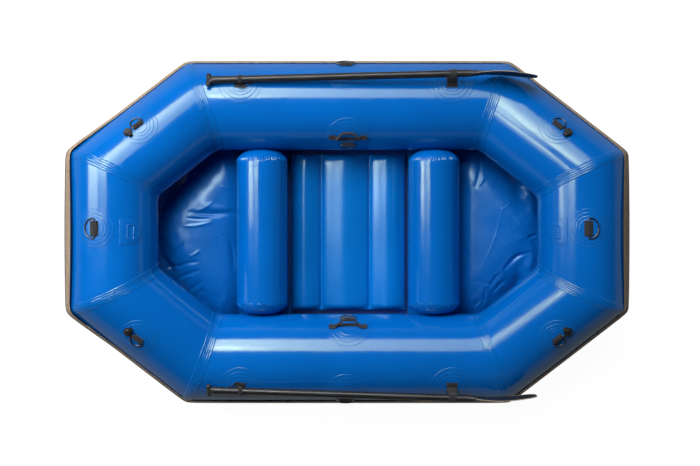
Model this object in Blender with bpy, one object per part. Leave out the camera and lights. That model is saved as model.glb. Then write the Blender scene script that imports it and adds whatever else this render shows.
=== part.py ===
"""An inflatable river raft for two: eight mitred tubes, two thwarts, an air floor and its fittings.

Metres, +Z up. The bow is +X and port is +Y. The origin is on the ground under the raft's middle.
"""

import math
from collections import namedtuple

import bmesh
import bpy
from mathutils import Matrix, Vector

# Clearances
GAP = 0.0003  # between pieces that touch
RUNNING_GAP = 0.0005  # round a pin, a shaft or a plug
CUT_EXTRA = 0.010  # how far a cutter runs past what it cuts
ROUND_SIDES = 16  # flats round a shaft, a valve or a cap
PIN_SIDES = 12  # flats round a pin, a lug or a grip's bar

# The ring of tubes, measured on the tubes' centre lines
SIDE_LENGTH = 1.28
SIDE_SPACING = 1.096
END_LENGTH = 0.486
END_SPACING = 2.00
END_RISE = 0.130
TUBE_RADIUS = 0.190
SKIN = 0.0012
TUBE_SIDES = 24
BAFFLE_THICKNESS = 0.0015

# Rub strake, on the flat that faces outwards and a little up
STRAKE_ANGLE = math.radians(15)
STRAKE_WIDTH = 0.046
STRAKE_BASE = 0.0022
STRAKE_RIB_WIDTH = 0.024
STRAKE_RIB_HEIGHT = 0.0052

# Thwarts
THWART_RADIUS = 0.110
THWART_PLACE = 0.374
THWART_DOME = 0.050
THWART_SIDES = 24

# Floor
SHEET_THICKNESS = 0.004
SHEET_CLEARANCE = 0.008
FLOOR_THICKNESS = 0.078
FLOOR_BEND_INSET = 0.040  # from the side tubes' ends in to the floor's bend
FLOOR_END_LIFT = 0.0156  # how far past the end tubes' undersides the floor rises
MATTRESS_BACK = -0.256
MATTRESS_WIDTHS = (0.134, 0.208, 0.160)
MATTRESS_GROOVE = 0.006
MATTRESS_CLEARANCE = 0.022  # from the side tubes' innermost lines
MATTRESS_EDGE = 0.030
MATTRESS_WEB = 0.022
PANEL_GAP = 0.0035  # between the mattress and an end panel

# Patches glued to the tubes
PATCH_RADIUS = 0.083
PATCH_INNER_SHARE = 0.60
PATCH_LAYER = 0.0012
PATCH_SEGMENTS = 16
PATCH_STEP_SHARE = 0.40  # longest flat of a patch round its tube, as a share of the patch's radius

# Ring fittings: a webbing keeper on a patch, and the ring in it
RING_WIRE = 0.00275
RING_SHOULDER = 0.006  # straight stretch from the bar to the bow
RING_DROOP = math.radians(5)
CORNER_RING_HALF_WIDTH = 0.0275
CORNER_RING_DEPTH = 0.034
CORNER_KEEPER_LENGTH = 0.047
CORNER_KEEPER_WIDTH = 0.019
END_RING_HALF_WIDTH = 0.0420
END_RING_DEPTH = 0.042
END_KEEPER_LENGTH = 0.062
END_KEEPER_WIDTH = 0.028
SIDE_RING_HALF_WIDTH = 0.0385
SIDE_RING_DEPTH = 0.034
SIDE_KEEPER_LENGTH = 0.050
SIDE_KEEPER_WIDTH = 0.019
HANDLE_RING_HALF_WIDTH = 0.0335
HANDLE_RING_DEPTH = 0.034
HANDLE_KEEPER_LENGTH = 0.047
HANDLE_KEEPER_WIDTH = 0.019
KEEPER_COVER = 0.0035
KEEPER_FLOOR = 0.0010

# Where the ring patches sit: along the tube from its middle, and round it from outwards
END_FITTING_ALONG = 0.015
BOW_FITTING_ANGLE = math.radians(80)
STERN_FITTING_ANGLE = math.radians(64)
CORNER_FITTING_ALONG = 0.060
CORNER_FITTING_ANGLE = math.radians(62)
SIDE_FITTING_ALONG = 0.010
SIDE_FITTING_ANGLE = math.radians(49.5)
SIDE_KEEPER_OFFSET = 0.065

# Air valves, beside the rings on the corner tubes
VALVE_SPACING = 0.052
VALVE_FLANGE_RADIUS = 0.0185
VALVE_FLANGE_THICKNESS = 0.003
VALVE_NECK_RADIUS = 0.0145
VALVE_NECK_HEIGHT = 0.008
VALVE_STEM_RADIUS = 0.0125
VALVE_STEM_DEPTH = 0.022
VALVE_BORE_RADIUS = 0.0095
CAP_RADIUS = 0.0155
CAP_THICKNESS = 0.0055
CAP_CHAMFER = 0.0025
CAP_PLUG_DEPTH = 0.0018
CAP_HINGE_OFFSET = 0.0215
CAP_LUG_RADIUS = 0.0042
CAP_LUG_LENGTH = 0.012
CAP_TAB_WIDTH = 0.0096
CAP_TAB_THICKNESS = 0.0036
CAP_TAB_OVERLAP = 0.004
EAR_THICKNESS = 0.0026
EAR_DEPTH = 0.0064

# Grab handles on the inner side of the side tubes
HANDLE_PATCH_RADIUS = 0.094
HANDLE_ANGLE = math.radians(138)
HANDLE_SPAN = 0.162
HANDLE_FOOT = 0.030
HANDLE_RISE = 0.034
HANDLE_LEAN = math.radians(40)
HANDLE_WIDTH = 0.025
HANDLE_STRAP = 0.0030
HANDLE_RING_OFFSET = 0.046

# D-shaped accessory patches on the end tubes
FITTING_PATCH_WIDTH = 0.110
FITTING_PATCH_DEPTH = 0.100
FITTING_PATCH_THICKNESS = 0.0020
FITTING_PATCH_ROWS = 9
FITTING_PATCH_END = 0.06  # share of the width that the rounded end keeps, squared
FITTING_PATCH_CURVE = 2.4  # the higher this is, the later the sides turn in
BOW_PATCH_CLEARANCE = 0.003  # round the tube, from the ring patch to the D-shaped one
STERN_PATCH_CLEARANCE = 0.0195

# Paddles, and the webbing loops that carry them
SHAFT_RADIUS = 0.0160
SHAFT_WALL = 0.0015
HOLDER_PATCH_RADIUS = 0.094
HOLDER_BACK = -0.455
HOLDER_FRONT = 0.440
PORT_HOLDER_ANGLE = math.radians(64)
STARBOARD_HOLDER_ANGLE = math.radians(55)
HOLDER_BACK_LIFT = 0.0025
HOLDER_FRONT_LIFT = 0.0450
LOOP_STRAP = 0.0026
LOOP_WIDTH = 0.034
LOOP_STALK = 0.0064
LOOP_FOOT_LENGTH = 0.052
LOOP_FOOT_WIDTH = 0.0192
LOOP_FOOT_HEIGHT = 0.0052
SPIGOT_LENGTH = 0.045
GRIP_END = -0.598
GRIP_LENGTH = 0.030
GRIP_FLARE = 0.022
GRIP_NECK_RADIUS = 0.0079
GRIP_ROOT = 0.010  # how far the grip's spigot runs into its flare
GRIP_WIDTH = 0.062
GRIP_BAR_RADIUS = 0.0105
BLADE_START = 0.500
BLADE_LENGTH = 0.290
BLADE_HALF_WIDTH = 0.0760
BLADE_BEND = 0.022
# Along the blade as a share of its length, then half width, half thickness, and share of the bend
BLADE_SHAPE = (
    (0.10, 0.0192, 0.0136, 0.0),
    (0.26, 0.62 * BLADE_HALF_WIDTH, 0.0095, 0.0),
    (0.42, 0.95 * BLADE_HALF_WIDTH, 0.0065, 0.04),
    (0.60, BLADE_HALF_WIDTH, 0.0050, 0.22),
    (0.80, 0.93 * BLADE_HALF_WIDTH, 0.0038, 0.58),
    (0.94, 0.74 * BLADE_HALF_WIDTH, 0.0030, 0.88),
    (1.00, 0.40 * BLADE_HALF_WIDTH, 0.0024, 1.0),
)

# What follows from the sizes above
CORNER_RADIUS = TUBE_RADIUS / math.cos(math.pi / TUBE_SIDES)
PATCH_STEP = PATCH_STEP_SHARE * max(PATCH_RADIUS, HANDLE_PATCH_RADIUS, HOLDER_PATCH_RADIUS)
PATCH_SEAT = (CORNER_RADIUS + GAP) / math.cos(PATCH_STEP / TUBE_RADIUS / 2)
PATCH_TOP = PATCH_SEAT + 2 * PATCH_LAYER
FITTING_STEP = FITTING_PATCH_DEPTH / FITTING_PATCH_ROWS
FITTING_SEAT = (CORNER_RADIUS + GAP) / math.cos(FITTING_STEP / TUBE_RADIUS / 2)
PATCH_PITCH = PATCH_RADIUS + FITTING_PATCH_DEPTH / 2  # between patches' middles, before their clearance
BOW_PATCH_ANGLE = BOW_FITTING_ANGLE + (PATCH_PITCH + BOW_PATCH_CLEARANCE) / TUBE_RADIUS
STERN_PATCH_ANGLE = STERN_FITTING_ANGLE + (PATCH_PITCH + STERN_PATCH_CLEARANCE) / TUBE_RADIUS
RING_BORE = RING_WIRE + RUNNING_GAP
BAR_RADIUS = PATCH_TOP + RING_BORE + KEEPER_FLOOR
FLOOR_BOTTOM = SHEET_CLEARANCE + SHEET_THICKNESS + GAP
FLOOR_TOP = FLOOR_BOTTOM + FLOOR_THICKNESS
FLOOR_BEND = SIDE_LENGTH / 2 - FLOOR_BEND_INSET
FLOOR_END_SLOPE = (END_RISE + FLOOR_END_LIFT) / (END_SPACING / 2 - FLOOR_BEND)
MATTRESS_FRONT = MATTRESS_BACK + sum(MATTRESS_WIDTHS) + MATTRESS_GROOVE * (len(MATTRESS_WIDTHS) - 1)
MATTRESS_LENGTH = SIDE_SPACING - 2 * (TUBE_RADIUS + MATTRESS_CLEARANCE)
THWART_HEIGHT = FLOOR_TOP + GAP + THWART_RADIUS
THWART_HALF = SIDE_SPACING / 2 - TUBE_RADIUS - GAP
LOOP_BORE = (SHAFT_RADIUS + GAP) / math.cos(math.pi / ROUND_SIDES)

Tube = namedtuple("Tube", "name start end direction outward up start_plane end_plane")
RingSize = namedtuple("RingSize", "half_width depth keeper_length keeper_width")
CORNER_RING = RingSize(
    CORNER_RING_HALF_WIDTH, CORNER_RING_DEPTH, CORNER_KEEPER_LENGTH, CORNER_KEEPER_WIDTH
)
END_RING = RingSize(END_RING_HALF_WIDTH, END_RING_DEPTH, END_KEEPER_LENGTH, END_KEEPER_WIDTH)
SIDE_RING = RingSize(SIDE_RING_HALF_WIDTH, SIDE_RING_DEPTH, SIDE_KEEPER_LENGTH, SIDE_KEEPER_WIDTH)
HANDLE_RING = RingSize(
    HANDLE_RING_HALF_WIDTH, HANDLE_RING_DEPTH, HANDLE_KEEPER_LENGTH, HANDLE_KEEPER_WIDTH
)


def fresh_collection(name):
    collection = bpy.data.collections.new(name)
    bpy.context.scene.collection.children.link(collection)
    return collection


def make_material(name, colour, roughness, metallic=0.0):
    material = bpy.data.materials.new(name)
    material.use_nodes = True
    shader = material.node_tree.nodes["Principled BSDF"]
    shader.inputs["Base Color"].default_value = (*colour, 1.0)
    shader.inputs["Roughness"].default_value = roughness
    shader.inputs["Metallic"].default_value = metallic
    return material


for old in list(bpy.data.objects):
    bpy.data.objects.remove(old)

RAFT = fresh_collection("inflatable_raft")
CUTTERS = fresh_collection("cutters")

BLUE = make_material("blue_pvc", (0.0, 0.156, 0.680), 0.28)
BLUE_FLOOR = make_material("blue_floor_fabric", (0.0, 0.130, 0.560), 0.35)
BLUE_PATCH = make_material("blue_patch", (0.01, 0.170, 0.700), 0.35)
TAUPE = make_material("taupe_rubber", (0.270, 0.220, 0.170), 0.70)
BLACK = make_material("black_webbing", (0.012, 0.012, 0.013), 0.80)
BLACK_PLASTIC = make_material("black_plastic", (0.015, 0.015, 0.016), 0.45)
STEEL = make_material("stainless_steel", (0.620, 0.600, 0.570), 0.25, 1.0)
SHAFT_BLACK = make_material("black_coated_aluminium", (0.030, 0.030, 0.033), 0.35, 0.6)


def add_object(name, mesh, material, collection=None):
    thing = bpy.data.objects.new(name, mesh)
    (collection or RAFT).objects.link(thing)
    mesh.materials.append(material)
    mesh.shade_smooth()
    mesh.set_sharp_from_angle(angle=math.radians(30))
    return thing


def finish(name, bm, material, collection=None):
    bmesh.ops.recalc_face_normals(bm, faces=bm.faces)
    mesh = bpy.data.meshes.new(name)
    bm.to_mesh(mesh)
    bm.free()
    return add_object(name, mesh, material, collection)


def helper(name, bm):
    """A hidden solid that a Boolean reads."""
    thing = finish(name, bm, BLACK, CUTTERS)
    thing.hide_render = True
    thing.display_type = "WIRE"
    return thing


def boolean(thing, other, operation="DIFFERENCE"):
    modifier = thing.modifiers.new(other.name, "BOOLEAN")
    modifier.operation = operation
    modifier.object = other
    return thing


def move(bm, matrix):
    bmesh.ops.transform(bm, matrix=matrix, verts=bm.verts)
    return bm


def box(size, centre=(0, 0, 0)):
    bm = bmesh.new()
    bmesh.ops.create_cube(bm, size=1.0)
    move(bm, Matrix.Translation(centre) @ Matrix.Diagonal((*size, 1.0)))
    return bm


def cylinder(radius, length, sides, top_radius=None):
    """A closed cylinder or cone about Z, with its middle at the origin."""
    bm = bmesh.new()
    top = radius if top_radius is None else top_radius
    bmesh.ops.create_cone(
        bm, cap_ends=True, segments=sides, radius1=radius, radius2=top, depth=length
    )
    return bm


def turned(profile, steps):
    """A closed profile of (radius, height) points turned about Z. It starts and ends on the axis or is a ring."""
    bm = bmesh.new()
    points = [bm.verts.new((radius, 0, height)) for radius, height in profile]
    for first, second in zip(points, points[1:]):
        bm.edges.new((first, second))
    bmesh.ops.spin(
        bm,
        geom=list(bm.verts) + list(bm.edges),
        cent=(0, 0, 0),
        axis=(0, 0, 1),
        angle=math.tau,
        steps=steps,
        use_merge=True,
    )
    bmesh.ops.remove_doubles(bm, verts=bm.verts, dist=1e-6)
    return bm


def lofted(rings, closed=False):
    """Rings of points joined in order, with flat ends unless the rings close on themselves."""
    bm = bmesh.new()
    rows = [[bm.verts.new(point) for point in ring] for ring in rings]
    pairs = list(zip(rows, rows[1:]))
    if closed:
        pairs.append((rows[-1], rows[0]))
    for first, second in pairs:
        for k in range(len(first)):
            following = (k + 1) % len(first)
            bm.faces.new((first[k], first[following], second[following], second[k]))
    if not closed:
        bm.faces.new(rows[0])
        bm.faces.new(rows[-1])
    return bm


def ring_of_corners():
    """The eight corners of the tubes' centre line, from the port bow corner towards the stern."""
    side_x = SIDE_LENGTH / 2
    side_y = SIDE_SPACING / 2
    end_x = END_SPACING / 2
    end_y = END_LENGTH / 2
    low = TUBE_RADIUS
    high = TUBE_RADIUS + END_RISE
    return [
        Vector((side_x, side_y, low)),
        Vector((-side_x, side_y, low)),
        Vector((-end_x, end_y, high)),
        Vector((-end_x, -end_y, high)),
        Vector((-side_x, -side_y, low)),
        Vector((side_x, -side_y, low)),
        Vector((end_x, -end_y, high)),
        Vector((end_x, end_y, high)),
    ]


TUBE_NAMES = (
    "port_side_tube",
    "stern_port_tube",
    "stern_tube",
    "stern_starboard_tube",
    "starboard_side_tube",
    "bow_starboard_tube",
    "bow_tube",
    "bow_port_tube",
)


def ring_of_tubes():
    """The tubes in order. Outward and up are carried round each corner by the mirror of its mitre plane."""
    corners = ring_of_corners()
    count = len(corners)
    directions = [(corners[(k + 1) % count] - corners[k]).normalized() for k in range(count)]
    planes = [(directions[k - 1] + directions[k]).normalized() for k in range(count)]
    outward = Vector((0, 1, 0))
    up = Vector((0, 0, 1))
    tubes = []
    for k, name in enumerate(TUBE_NAMES):
        if k > 0:
            outward = outward - 2 * outward.dot(planes[k]) * planes[k]
            up = up - 2 * up.dot(planes[k]) * planes[k]
        start = corners[k]
        end = corners[(k + 1) % count]
        tubes.append(
            Tube(name, start, end, directions[k], outward, up, planes[k], planes[(k + 1) % count])
        )
    return tubes


TUBES = ring_of_tubes()
BY_NAME = {tube.name: tube for tube in TUBES}


def beside(tube, along, angle, radius):
    """A point along the tube from its middle, round it from outwards, and out from its axis."""
    middle = (tube.start + tube.end) / 2
    out = math.cos(angle) * tube.outward + math.sin(angle) * tube.up
    return middle + along * tube.direction + radius * out


def fitting_frame(tube, along, angle, radius):
    """A frame on the tube's surface: X along it, Y round it away from outwards, Z straight out of it."""
    out = math.cos(angle) * tube.outward + math.sin(angle) * tube.up
    around = math.cos(angle) * tube.up - math.sin(angle) * tube.outward
    place = beside(tube, along, angle, radius)
    rows = Matrix((tube.direction, around, out)).transposed()
    return Matrix.Translation(place) @ rows.to_4x4()


def polygon_offset(tube, radius, step):
    angle = (step + 0.5) * math.tau / TUBE_SIDES
    return radius * (math.cos(angle) * tube.outward + math.sin(angle) * tube.up)


def on_mitre(corner, plane, direction, offset, inset=0.0):
    """Where the line beside a tube's centre line, at this offset, meets the corner's mitre plane."""
    return corner + offset + (inset - offset.dot(plane) / direction.dot(plane)) * direction


def open_tube(tube, apothem, reach):
    """The rings of a mitred tube's two ends, each drawn in from its mitre plane by reach."""
    radius = apothem / math.cos(math.pi / TUBE_SIDES)
    ends = []
    for corner, plane, inset in (
        (tube.start, tube.start_plane, reach),
        (tube.end, tube.end_plane, -reach),
    ):
        ends.append(
            [
                on_mitre(corner, plane, tube.direction, polygon_offset(tube, radius, k), inset)
                for k in range(TUBE_SIDES)
            ]
        )
    return ends


def tube_shell(tube):
    """A tube's fabric: an outer and an inner skin, with the wall's edge at each mitre."""
    outer_start, outer_end = open_tube(tube, TUBE_RADIUS, GAP / 2)
    inner_start, inner_end = open_tube(tube, TUBE_RADIUS - SKIN, GAP / 2)
    bm = lofted([outer_start, outer_end, inner_end, inner_start], closed=True)
    return finish(tube.name, bm, BLUE)


def clearance_ring():
    """The whole ring of tubes as one solid, grown by the gap, for cutting what lies against it."""
    radius = (TUBE_RADIUS + GAP) / math.cos(math.pi / TUBE_SIDES)
    rings = []
    for tube in TUBES:
        rings.append(
            [
                on_mitre(tube.start, tube.start_plane, tube.direction, polygon_offset(tube, radius, k))
                for k in range(TUBE_SIDES)
            ]
        )
    return helper("ring_clearance", lofted(rings, closed=True))


def baffle(name, tube):
    """A fabric wall across the middle of a tube, between two air chambers."""
    radius = (TUBE_RADIUS - SKIN - GAP) / math.cos(math.pi / TUBE_SIDES)
    faces = []
    for side in (-1, 1):
        middle = beside(tube, side * BAFFLE_THICKNESS / 2, 0, 0)
        faces.append([middle + polygon_offset(tube, radius, k) for k in range(TUBE_SIDES)])
    return finish(name, lofted(faces), BLUE_FLOOR)


def rub_strake():
    """A flat rubber strip with a raised rib, mitred round the whole outside."""
    seat = TUBE_RADIUS + GAP
    half_base = STRAKE_WIDTH / 2
    half_rib = STRAKE_RIB_WIDTH / 2
    profile = (
        (seat, -half_base),
        (seat, half_base),
        (seat + STRAKE_BASE, half_base),
        (seat + STRAKE_BASE, half_rib + STRAKE_BASE),
        (seat + STRAKE_RIB_HEIGHT, half_rib),
        (seat + STRAKE_RIB_HEIGHT, -half_rib),
        (seat + STRAKE_BASE, -half_rib - STRAKE_BASE),
        (seat + STRAKE_BASE, -half_base),
    )
    rings = []
    for tube in TUBES:
        out = math.cos(STRAKE_ANGLE) * tube.outward + math.sin(STRAKE_ANGLE) * tube.up
        across = math.cos(STRAKE_ANGLE) * tube.up - math.sin(STRAKE_ANGLE) * tube.outward
        rings.append(
            [
                on_mitre(tube.start, tube.start_plane, tube.direction, radial * out + side * across)
                for radial, side in profile
            ]
        )
    return finish("rub_strake", lofted(rings, closed=True), TAUPE)


def thwart(name, place):
    """An inflated cross tube with domed ends, held between the side tubes."""
    steps = 3
    profile = [(0.0, -THWART_HALF)]
    for k in range(1, steps + 1):
        angle = k * math.pi / 2 / steps
        profile.append((THWART_RADIUS * math.sin(angle), -THWART_HALF + THWART_DOME * (1 - math.cos(angle))))
    profile += [(radius, -height) for radius, height in reversed(profile)]
    bm = turned(profile, THWART_SIDES)
    half_step = Matrix.Rotation(math.pi / THWART_SIDES, 4, "Z")
    lay_across = Matrix.Rotation(math.pi / 2, 4, "X")
    move(bm, Matrix.Translation((place, 0, THWART_HEIGHT)) @ lay_across @ half_step)
    return finish(name, bm, BLUE)


def floor_slope(x):
    """How far the floor rises at this distance from the middle, past its bend."""
    return max(0.0, abs(x) - FLOOR_BEND) * FLOOR_END_SLOPE


def floor_outline(start):
    """The floor's plan on one end from this X, out to the tubes' centre lines, as two flat faces."""
    side_x = SIDE_LENGTH / 2
    side_y = SIDE_SPACING / 2
    end_x = END_SPACING / 2
    end_y = END_LENGTH / 2
    flat = ((start, side_y), (start, -side_y), (FLOOR_BEND, -side_y), (FLOOR_BEND, side_y))
    raised = (
        (FLOOR_BEND, side_y),
        (FLOOR_BEND, -side_y),
        (side_x, -side_y),
        (end_x, -end_y),
        (end_x, end_y),
        (side_x, side_y),
    )
    return flat, raised


def floor_slab(bottom, thickness, ends, start):
    """A slab that follows the floor's bend, reaching under the tubes at the named ends."""
    bm = bmesh.new()
    for end in ends:
        for outline in floor_outline(start):
            bm.faces.new([bm.verts.new((end * x, y, bottom + floor_slope(x))) for x, y in outline])
    bmesh.ops.remove_doubles(bm, verts=bm.verts, dist=1e-5)
    bmesh.ops.recalc_face_normals(bm, faces=bm.faces)
    if bm.faces[0].normal.z < 0:
        bmesh.ops.reverse_faces(bm, faces=bm.faces)
    raised = bmesh.ops.extrude_face_region(bm, geom=list(bm.faces))
    moved = [part for part in raised["geom"] if isinstance(part, bmesh.types.BMVert)]
    bmesh.ops.translate(bm, vec=(0, 0, thickness), verts=moved)
    return bm


def floor_sheet(ring):
    bm = floor_slab(SHEET_CLEARANCE, SHEET_THICKNESS, (1, -1), 0.0)
    return boolean(finish("floor_sheet", bm, BLUE_FLOOR), ring)


def floor_panel(name, end, mattress_edge, ring):
    """An inflated end panel: flat under the thwart, then up towards the raised end tube."""
    bm = floor_slab(FLOOR_BOTTOM, FLOOR_THICKNESS, (end,), abs(mattress_edge) + PANEL_GAP)
    return boolean(finish(name, bm, BLUE_FLOOR), ring)


def mattress_cells():
    """Each cell's middle and width along the raft, from the back one forward."""
    back = MATTRESS_BACK
    for width in MATTRESS_WIDTHS:
        yield back + width / 2, width
        back += width + MATTRESS_GROOVE


def mattress_cell(centre, width):
    """One cross cell with rounded edges."""
    bm = box((width, MATTRESS_LENGTH, FLOOR_THICKNESS), (centre, 0, (FLOOR_BOTTOM + FLOOR_TOP) / 2))
    bmesh.ops.bevel(
        bm, geom=list(bm.edges), offset=MATTRESS_EDGE, segments=2, profile=0.5, affect="EDGES"
    )
    return bm


def floor_mattress():
    """Three cross cells of one air mattress, joined by a low web."""
    cells = list(mattress_cells())
    mattress = finish("floor_mattress", mattress_cell(*cells[0]), BLUE_FLOOR)
    for number, cell in enumerate(cells[1:], 2):
        boolean(mattress, helper(f"mattress_cell_{number}", mattress_cell(*cell)), "UNION")
    back = cells[0][0]
    front = cells[-1][0]
    web = box(
        (front - back, MATTRESS_LENGTH - 2 * MATTRESS_EDGE, MATTRESS_WEB),
        ((front + back) / 2, 0, (FLOOR_BOTTOM + FLOOR_TOP) / 2),
    )
    return boolean(mattress, helper("mattress_web", web), "UNION")


def wrapped_patch(tube, along, angle, radius, material, name):
    """A round patch of two layers, turned flat and then wrapped round its tube."""
    inner = radius * PATCH_INNER_SHARE
    profile = (
        (0.0, 0.0),
        (radius / 3, 0.0),
        (radius * 2 / 3, 0.0),
        (radius, 0.0),
        (radius, PATCH_LAYER),
        (inner + PATCH_LAYER / 2, PATCH_LAYER),
        (inner, 2 * PATCH_LAYER),
        (inner / 2, 2 * PATCH_LAYER),
        (0.0, 2 * PATCH_LAYER),
    )
    bm = turned(profile, PATCH_SEGMENTS)
    for vert in bm.verts:
        forward, sideways, height = vert.co
        vert.co = beside(tube, along + forward, angle + sideways / TUBE_RADIUS, PATCH_SEAT + height)
    return finish(name, bm, material)


def ring_keeper(patch, tube, along, angle, size):
    """The webbing block that holds a ring's bar, joined to its patch, with the bar's bore."""
    top = BAR_RADIUS + RING_BORE + KEEPER_COVER
    bottom = PATCH_SEAT + PATCH_LAYER / 2
    block_size = (size.keeper_length, size.keeper_width, top - bottom)
    block = box(block_size, (0, 0, (top + bottom) / 2 - BAR_RADIUS))
    frame = fitting_frame(tube, along, angle, BAR_RADIUS)
    boolean(patch, helper(patch.name + "_keeper", move(block, frame)), "UNION")
    bore = cylinder(RING_BORE, size.keeper_length + 2 * CUT_EXTRA, PIN_SIDES)
    move(bore, frame @ Matrix.Rotation(math.pi / 2, 4, "Y"))
    return boolean(patch, helper(patch.name + "_bore", bore))


def ring(name, tube, along, angle, size, side):
    """A D-shaped wire ring. Its bar is its hinge, and its bow lies to the given side of the bar."""
    curve = bpy.data.curves.new(name, "CURVE")
    curve.dimensions = "3D"
    curve.bevel_depth = RING_WIRE
    curve.bevel_resolution = 1
    steps = 8
    points = [(-size.half_width, 0.0), (size.half_width, 0.0)]
    bow = size.depth - RING_SHOULDER
    for k in range(steps + 1):
        turn = k * math.pi / steps
        points.append((size.half_width * math.cos(turn), RING_SHOULDER + bow * math.sin(turn)))
    spline = curve.splines.new("POLY")
    spline.points.add(len(points) - 1)
    spline.use_cyclic_u = True
    droop = math.cos(RING_DROOP), math.sin(RING_DROOP)
    for point, (forward, out) in zip(spline.points, points):
        point.co = (forward, side * out * droop[0], -out * droop[1], 1.0)
    thing = bpy.data.objects.new(name, curve)
    RAFT.objects.link(thing)
    curve.materials.append(STEEL)
    thing.matrix_world = fitting_frame(tube, along, angle, BAR_RADIUS)
    return thing


def ring_fitting(name, tube, along, angle, size, keeper_offset=0.0):
    """A patch with its keeper, and the ring, which lies towards the raft's outside."""
    patch = wrapped_patch(tube, along, angle, PATCH_RADIUS, BLUE_PATCH, name + "_ring_patch")
    bar_angle = angle - keeper_offset / TUBE_RADIUS
    ring_keeper(patch, tube, along, bar_angle, size)
    ring(name + "_ring", tube, along, bar_angle, size, -1)
    return patch


def valve_profile(seat):
    """The valve body from its stem inside the tube to its rim, as a closed ring."""
    flange_top = seat + VALVE_FLANGE_THICKNESS
    rim = seat + VALVE_NECK_HEIGHT
    return (
        (VALVE_BORE_RADIUS, -VALVE_STEM_DEPTH),
        (VALVE_STEM_RADIUS, -VALVE_STEM_DEPTH),
        (VALVE_STEM_RADIUS, seat),
        (VALVE_FLANGE_RADIUS, seat),
        (VALVE_FLANGE_RADIUS, flange_top),
        (VALVE_NECK_RADIUS, flange_top),
        (VALVE_NECK_RADIUS, rim),
        (VALVE_BORE_RADIUS, rim),
        (VALVE_BORE_RADIUS, -VALVE_STEM_DEPTH),
    )


def valve_hinge(body, frame, seat, rim):
    """The cap's hinge seat beside the neck: a shelf under the lug, and an ear at each end of it."""
    ear_inner = CAP_LUG_LENGTH / 2 + GAP
    shelf_back = VALVE_BORE_RADIUS + GAP
    shelf_front = CAP_HINGE_OFFSET + EAR_DEPTH / 2
    shelf_bottom = seat + GAP
    shelf_top = rim - 2 * GAP
    shelf = box(
        (2 * ear_inner + EAR_THICKNESS, shelf_front - shelf_back, shelf_top - shelf_bottom),
        (0, (shelf_front + shelf_back) / 2, (shelf_top + shelf_bottom) / 2),
    )
    boolean(body, helper(body.name + "_shelf", move(shelf, frame)), "UNION")
    ear_bottom = seat + VALVE_FLANGE_THICKNESS / 2
    ear_top = rim + 2 * CAP_LUG_RADIUS
    for end, label in ((-1, "_first_ear"), (1, "_second_ear")):
        ear = box(
            (EAR_THICKNESS, EAR_DEPTH - GAP, ear_top - ear_bottom),
            (end * (ear_inner + EAR_THICKNESS / 2), CAP_HINGE_OFFSET, (ear_top + ear_bottom) / 2),
        )
        boolean(body, helper(body.name + label, move(ear, frame)), "UNION")


def valve_cap(name, frame, rim):
    """The cap, with its plug, tab and lug. Its origin is on its hinge, inboard of the neck."""
    plug = VALVE_BORE_RADIUS - RUNNING_GAP
    profile = (
        (0.0, rim - CAP_PLUG_DEPTH),
        (plug - CAP_PLUG_DEPTH / 2, rim - CAP_PLUG_DEPTH),
        (plug, rim),
        (CAP_RADIUS, rim),
        (CAP_RADIUS, rim + CAP_THICKNESS - CAP_CHAMFER),
        (CAP_RADIUS - CAP_CHAMFER, rim + CAP_THICKNESS),
        (0.0, rim + CAP_THICKNESS),
    )
    hinge = Matrix.Translation((0, CAP_HINGE_OFFSET, rim + CAP_LUG_RADIUS))
    cap = finish(name, move(turned(profile, ROUND_SIDES), hinge.inverted()), BLACK_PLASTIC)
    cap.matrix_world = frame @ hinge
    tab_length = CAP_HINGE_OFFSET - CAP_RADIUS + CAP_TAB_OVERLAP
    tab_middle = (CAP_TAB_THICKNESS / 2 - CAP_LUG_RADIUS) + GAP
    tab = box((CAP_TAB_WIDTH, tab_length, CAP_TAB_THICKNESS), (0, -tab_length / 2, tab_middle))
    boolean(cap, helper(name + "_tab", move(tab, cap.matrix_world)), "UNION")
    lug = cylinder(CAP_LUG_RADIUS, CAP_LUG_LENGTH, PIN_SIDES)
    move(lug, cap.matrix_world @ Matrix.Rotation(math.pi / 2, 4, "Y"))
    return boolean(cap, helper(name + "_lug", lug), "UNION")


def valve(name, tube, shell, patch, along, angle):
    """An air valve through a patch and its tube, with a hinged cap."""
    seat = 2 * PATCH_LAYER + GAP
    rim = seat + VALVE_NECK_HEIGHT + GAP
    frame = fitting_frame(tube, along, angle, PATCH_SEAT)
    turned_body = move(turned(valve_profile(seat), ROUND_SIDES), frame)
    body = finish(name + "_valve_body", turned_body, BLACK_PLASTIC)
    valve_hinge(body, frame, seat, rim)
    hole = cylinder(VALVE_STEM_RADIUS + RUNNING_GAP, 2 * (VALVE_STEM_DEPTH + CUT_EXTRA), ROUND_SIDES)
    hole_cutter = helper(name + "_valve_hole", move(hole, frame))
    boolean(shell, hole_cutter)
    boolean(patch, hole_cutter)
    return valve_cap(name + "_valve_cap", frame, rim)


def handle_path():
    """The strap's centre line as (along, lift) points: foot, arch, foot."""
    half = HANDLE_SPAN / 2
    inner = half - HANDLE_FOOT
    points = [(-half, 0.0), (-inner, 0.0)]
    steps = 8
    for k in range(1, steps):
        turn = k / steps
        points.append((-inner + 2 * inner * turn, HANDLE_RISE * math.sin(math.pi * turn) ** 0.7))
    return points + [(inner, 0.0), (half, 0.0)]


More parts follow.
